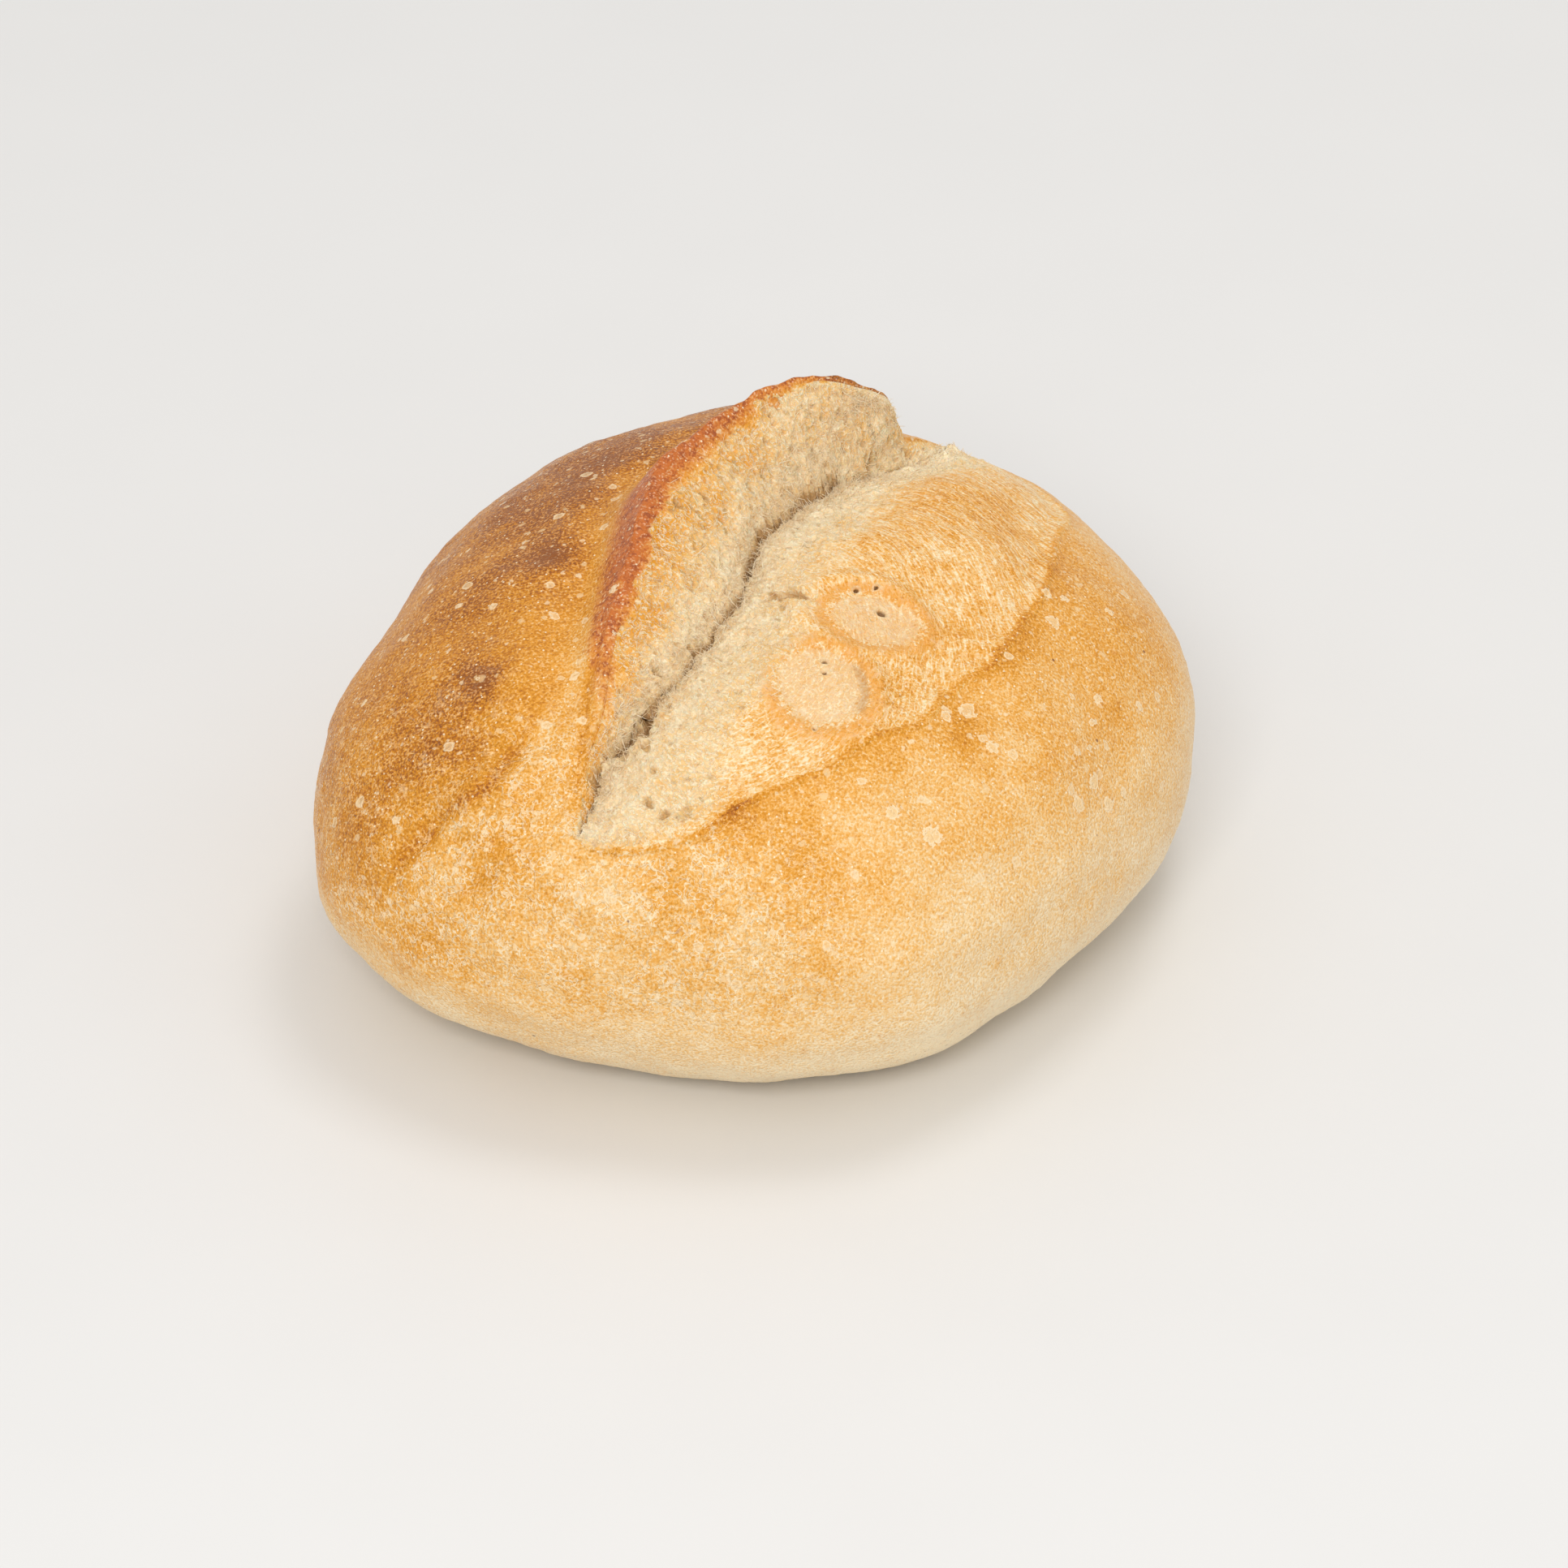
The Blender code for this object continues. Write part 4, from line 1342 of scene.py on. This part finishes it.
def skinColour(shader, place, toast, streaks=None, net=None):
    coarse, medium, fine = [shader.grains(place, *skinSizes[name]) for name in ("coarse", "medium", "fine")]
    onBloom = shader.field("bloomSkin")
    crinkle = shader.field("crinkle")
    crisp = shader.step(fine, -0.06, 0.06) - 0.5
    brown = toast + 0.02 + 0.32 * coarse + 0.12 * medium + 0.70 * fine + 0.065 * crisp
    lines = shader.creases(place, *skinSizes["wrinkles"])
    lines = lines * shader.step(shader.grains(place, *skinSizes["wrinkleSheenPatches"]), -0.10, 0.05)
    # paler along the wrinkles, as part of the painted highlight
    brown = brown + crinkle * (0.04 - 0.16 * lines)
    if streaks:
        brown = brown + onBloom * (0.80 * streaks - 0.26 * net + 0.02)

    # painted highlights: pale glossy sheen on thin wrinkles, thickest on the papery skin of the front and
    # fainter where the crust is brown
    pale = 1.0 - 0.65 * shader.step(toast, 0.42, 0.62)
    colour = shader.paint(shader.baked(brown), (lines * (pale * (0.05 + 0.45 * crinkle)), "paintedSparkle"))
    # painted highlights: pale sheen along longer wrinkles
    long = shader.creases(place, *skinSizes["longWrinkleSheen"])
    long = long * shader.step(shader.grains(place, *skinSizes["longSheenPatches"]), -0.06, 0.08)

    # the browned band on the ear's lip, orange at its sides and broken by paler painted glints (painted
    # highlights)
    crest = shader.field("crest")
    band = shader.step(crest + 1.1 * medium + 1.1 * fine, 0.22, 0.95)
    scorched = shader.mix(shader.step(medium + 0.6 * fine, 0.0, 0.18), bake["crest"], bake["crestDark"])
    colour = shader.paint(
        colour,
        (long * (pale * (0.08 + 0.50 * crinkle)), "paleFleckAndSheen"),
        (0.75 * shader.step(crest + 0.6 * medium, 0.02, 0.45), "crestHalo"),
    )
    colour = shader.mix(0.86 * band, colour, scorched)
    glints = shader.spots(place, *skinSizes["glints"]) * shader.step(crest, 0.1, 0.5)

    # tiny pale specks all over painted as highlights, larger pale flecks where the crust is brown, and pale
    # spots with a rim
    wavy = shader.bent(place, *skinSizes["bend"])
    larger = shader.spots(wavy, *skinSizes["larger"]) * shader.step(toast, 0.16, 0.32)
    plain = 1.0 - shader.step(crest, 0.03, 0.20)
    middling = shader.spots(wavy, *skinSizes["middling"]) * plain
    size, share = skinSizes["ringed"]
    gap = shader.cells(wavy, size, "Distance")
    inner = (1.0 - shader.step(gap, 0.16, 0.21)) * (
        shader.chosen(wavy, size, share) * plain * (1.0 - 0.8 * onBloom))
    reach = shader.field("spots") + 1.5 * medium + 1.1 * fine
    spot = 1.0 - shader.step(reach, 0.90, 1.05)
    around = shader.step(reach, 1.0, 1.1) * (1.0 - shader.step(reach, 1.15, 1.7))

    # flat blisters in the bloom, with an orange rim
    blister = shader.field("blister") + 0.6 * medium + 0.5 * fine
    flat = 1.0 - shader.step(blister, 0.86, 1.02)
    orange = shader.step(blister, 0.94, 1.04) * (1.0 - shader.step(blister, 1.10, 1.40))
    shade = shader.field("shade") + 0.8 * medium + 0.5 * fine
    return shader.paint(
        colour,
        (0.70 * glints, "crestPaintedGlint"),
        # painted highlights: pale pinpoints and sparkle specks all over
        (0.22 * shader.step(fine, -0.09, -0.15), "paintedSparkle"),
        (0.85 * shader.spots(place, *skinSizes["paintedGlintSpecks"]), "paintedSparkle"),
        (0.60 * larger, "paleFleckAndSheen"),
        ((0.58 + 1.5 * fine) * middling, "spot"),
        (0.52 * inner, "spot"),
        (0.74 * (inner * shader.step(gap, 0.09, 0.16)), "paleFleckAndSheen"),
        ((0.54 + 2.0 * fine) * spot, "spot"),
        (0.84 * (spot * shader.step(reach, 0.55, 0.80)), "paleFleckAndSheen"),
        (0.32 * around, "blisterRim"),
        ((0.46 + 2.6 * fine + 1.0 * medium) * flat, "blister"),
        (0.68 * orange, "blisterRim"),
        (0.50 * shader.step(shade, 0.15, 0.95), "shade"),
        (0.75 * shader.spots(place, *skinSizes["dark"]), "speck"),
    )


# Fine relief of the skin in millimetres. Each sort of wrinkle has its size, its width, its height,
# and how much higher it is on the papery skin.
skinHeights = {
    "medium": 0.10,
    "fine": 0.40,
    "wrinkles": ((0.0013, 0.060, 0.01, 0.05), (0.0034, 0.040, 0.02, 0.08)),
    "spots": 0.06,
}


def skinHeight(shader, place):
    height = skinHeights["medium"] * shader.grains(place, *skinSizes["medium"])
    height = height + skinHeights["fine"] * shader.grains(place, *skinSizes["fine"])
    crinkle = shader.field("crinkle")
    for size, width, plain, papery in skinHeights["wrinkles"]:
        height = height + (plain + papery * crinkle) * shader.creases(place, size, width)
    return height + skinHeights["spots"] * (1.0 - shader.step(shader.field("spots"), 0.80, 1.10))


def loafCrustMaterial():
    shader = Shader("brownedCrust")
    place = shader.place()
    gloss = 0.6 * shader.grains(place, *skinSizes["gloss"])
    return shader.finish({
        "Base Color": skinColour(shader, place, shader.field("toast")),
        "Roughness": 0.36 - 0.10 * shader.field("crinkle") + gloss,
        "Normal": shader.bump(skinHeight(shader, place)),
        "Specular IOR Level": 0.28,
    })


# The torn crumb: fibres, grains, hairs and the small pockets between them, in the same way.
crumbSizes = {
    "streaks": (0.00060, 2.0),
    "net": (0.00100, 0.05),
    "fibres": (0.00050, 3.0),
    "medium": (0.0022, 3.0),
    "hairs": (0.0010, 0.035),
    "bend": (0.0012, 0.0006),
    "pockets": (0.0018, 0.14, 0.32, 0.42),
}


def openedScoreMaterial():
    shader = Shader("tornCrumb")
    place = shader.place()
    grain = shader.field("grain", "Vector")
    toast = shader.field("toast")
    pore = shader.field("pore")
    drawn = shader.stretched(shader.field("stream", "Vector"), 0.30)
    streaks = shader.grains(drawn, *crumbSizes["streaks"])
    baked = skinColour(shader, place, toast, streaks, shader.creases(drawn, *crumbSizes["net"]))

    # crumb: pale, with golden patches and drawn fibres, and painted shade in its hollows and small pockets
    fibres = shader.grains(shader.stretched(grain, 0.35), *crumbSizes["fibres"])
    fine = shader.grains(place, *skinSizes["fine"])
    medium = shader.grains(place, *crumbSizes["medium"])
    hairs = shader.creases(place, *crumbSizes["hairs"])
    bent = shader.bent(shader.stretched(grain, 0.6), *crumbSizes["bend"])
    # small pockets, painted as shade and sunk a little by the bump
    pockets = shader.spots(bent, *crumbSizes["pockets"])
    crumb = shader.paint(
        shader.baked(toast + 0.03 + 0.46 * medium + 0.20 * fine + 0.28 * fibres),
        (0.60 * hairs, "strand"),
        (0.60 * shader.step(fine + fibres, -0.05, -0.15), "strand"),
        (0.58 * pockets, "pocketShadeTint"),
        (0.80 * shader.field("deep"), "hollowShadeTint"),
        # painted shadow inside the opened crack
        (0.78 * shader.step(shader.field("crack") + 0.5 * fine, 0.15, 0.75), "crack"),
    )
    share = shader.step(shader.field("torn") + 1.3 * medium + 0.8 * fine + 1.5 * streaks, 0.25, 0.75)
    # painted shade in the blisters' small pores, and a painted highlight round their rims
    rim = (1.0 - shader.step(pore, 1.4, 2.0)) * shader.step(pore, 0.9, 1.2)
    fluff = 0.22 * medium + 0.10 * hairs - 0.20 * pockets - 0.42 * fine - 0.40 * fibres
    height = skinHeight(shader, place) * (1.0 - share) + share * fluff
    gloss = 0.6 * shader.grains(place, *skinSizes["gloss"]) * (1.0 - share)
    return shader.finish({
        "Base Color": shader.paint(
            shader.mix(share, baked, crumb),
            (0.5 * rim, "paleFleckAndSheen"),
            (0.9 * (1.0 - shader.step(pore, 0.75, 1.1)), "pore"),
        ),
        "Roughness": 0.36 + 0.49 * share + gloss,
        "Normal": shader.bump(height),
        "Specular IOR Level": 0.24,
        "Subsurface Weight": 0.20,
        "Subsurface Radius": (0.0022, 0.0013, 0.0007),
        "Subsurface Scale": 1.0,
    })


def shredMaterial():
    shader = Shader("crumbStrand")
    tone = shader.field("tone") + shader.grains(shader.place(), 0.0010, 2.0)
    return shader.finish({
        "Base Color": shader.mix(tone, bake["stops"][1][1], bake["strand"]),
        "Roughness": 0.75 + 0.2 * tone,
        "Subsurface Weight": 0.2,
        "Subsurface Radius": (0.0012, 0.0008, 0.0005),
        "Subsurface Scale": 1.0,
    })


# Lights: name, place, the size of its panel, power in watts.
studio = {
    "lookAt": (0.0049, 0.0315, 0.0),
    "away": 1.452,
    "above": 35.07,
    "lens": 171.0,
    "floor": 6.0,
    "floorColour": (0.78, 0.775, 0.765),
    "world": (1.0, 0.985, 0.965),
    "worldStrength": 0.74,
    "lights": (
        ("key", (0.28, 0.30, 1.35), 0.45, 3.3),
        ("fill", (-0.18, -1.20, 1.05), 0.50, 8.9),
    ),
}


def makeFloor():
    half = studio["floor"] / 2.0
    mesh = bpy.data.meshes.new("floor")
    corners = [(-half, -half, 0.0), (half, -half, 0.0), (half, half, 0.0), (-half, half, 0.0)]
    mesh.from_pydata(corners, [], [(0, 1, 2, 3)])
    floor = bpy.data.objects.new("floor", mesh)
    bpy.context.scene.collection.objects.link(floor)
    shader = Shader("paleFloor")
    shade = tuple(0.97 * c for c in studio["floorColour"])
    tone = shader.grains(shader.place(), 0.05, 2.0) + 0.5
    mesh.materials.append(shader.finish({
        "Base Color": shader.mix(tone, studio["floorColour"], shade),
        "Roughness": 0.55,
    }))


def aim(thing, place, target):
    # point a camera or a light at a place
    x, y, z = (a - b for a, b in zip(target, place))
    thing.location = place
    thing.rotation_euler = (math.atan2(math.hypot(x, y), -z), 0.0, math.atan2(-x, y))


def makeStudio():
    scene = bpy.context.scene
    world = bpy.data.worlds.new("studio")
    world.use_nodes = True
    background = world.node_tree.nodes["Background"]
    background.inputs["Color"].default_value = (*studio["world"], 1.0)
    background.inputs["Strength"].default_value = studio["worldStrength"]
    scene.world = world
    scene.view_settings.view_transform = "Standard"
    for name, place, size, power in studio["lights"]:
        light = bpy.data.lights.new(name, "AREA")
        light.size = size
        light.energy = power
        lamp = bpy.data.objects.new(name, light)
        aim(lamp, place, (0.0, 0.0, 0.04))
        scene.collection.objects.link(lamp)
    tilt = math.radians(studio["above"])
    x, y, z = studio["lookAt"]
    away = studio["away"]
    camera = bpy.data.objects.new("camera", bpy.data.cameras.new("camera"))
    camera.data.lens = studio["lens"]
    aim(camera, (x, y - away * math.cos(tilt), z + away * math.sin(tilt)), studio["lookAt"])
    scene.collection.objects.link(camera)
    scene.camera = camera


loafCrust, shift = makeLoafCrust()
print("crust made:", len(loafCrust.data.polygons), "faces")
openedScore, scorePoints, scoreNormals, sound, sGrid, wGrid = makeOpenedScore(shift)
print("opened score made:", len(openedScore.data.polygons), "faces")
crumbShreds = makeCrumbShreds(scorePoints, scoreNormals, sound, sGrid, wGrid)
print("crumb strands made:", len(crumbShreds.data.polygons), "faces")

for piece, material in ((loafCrust, loafCrustMaterial()), (openedScore, openedScoreMaterial()),
                        (crumbShreds, shredMaterial())):
    piece.data.materials.append(material)
    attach(piece, "root")
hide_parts("loaf")
print("materials made")

makeFloor()
makeStudio()
print("studio made")
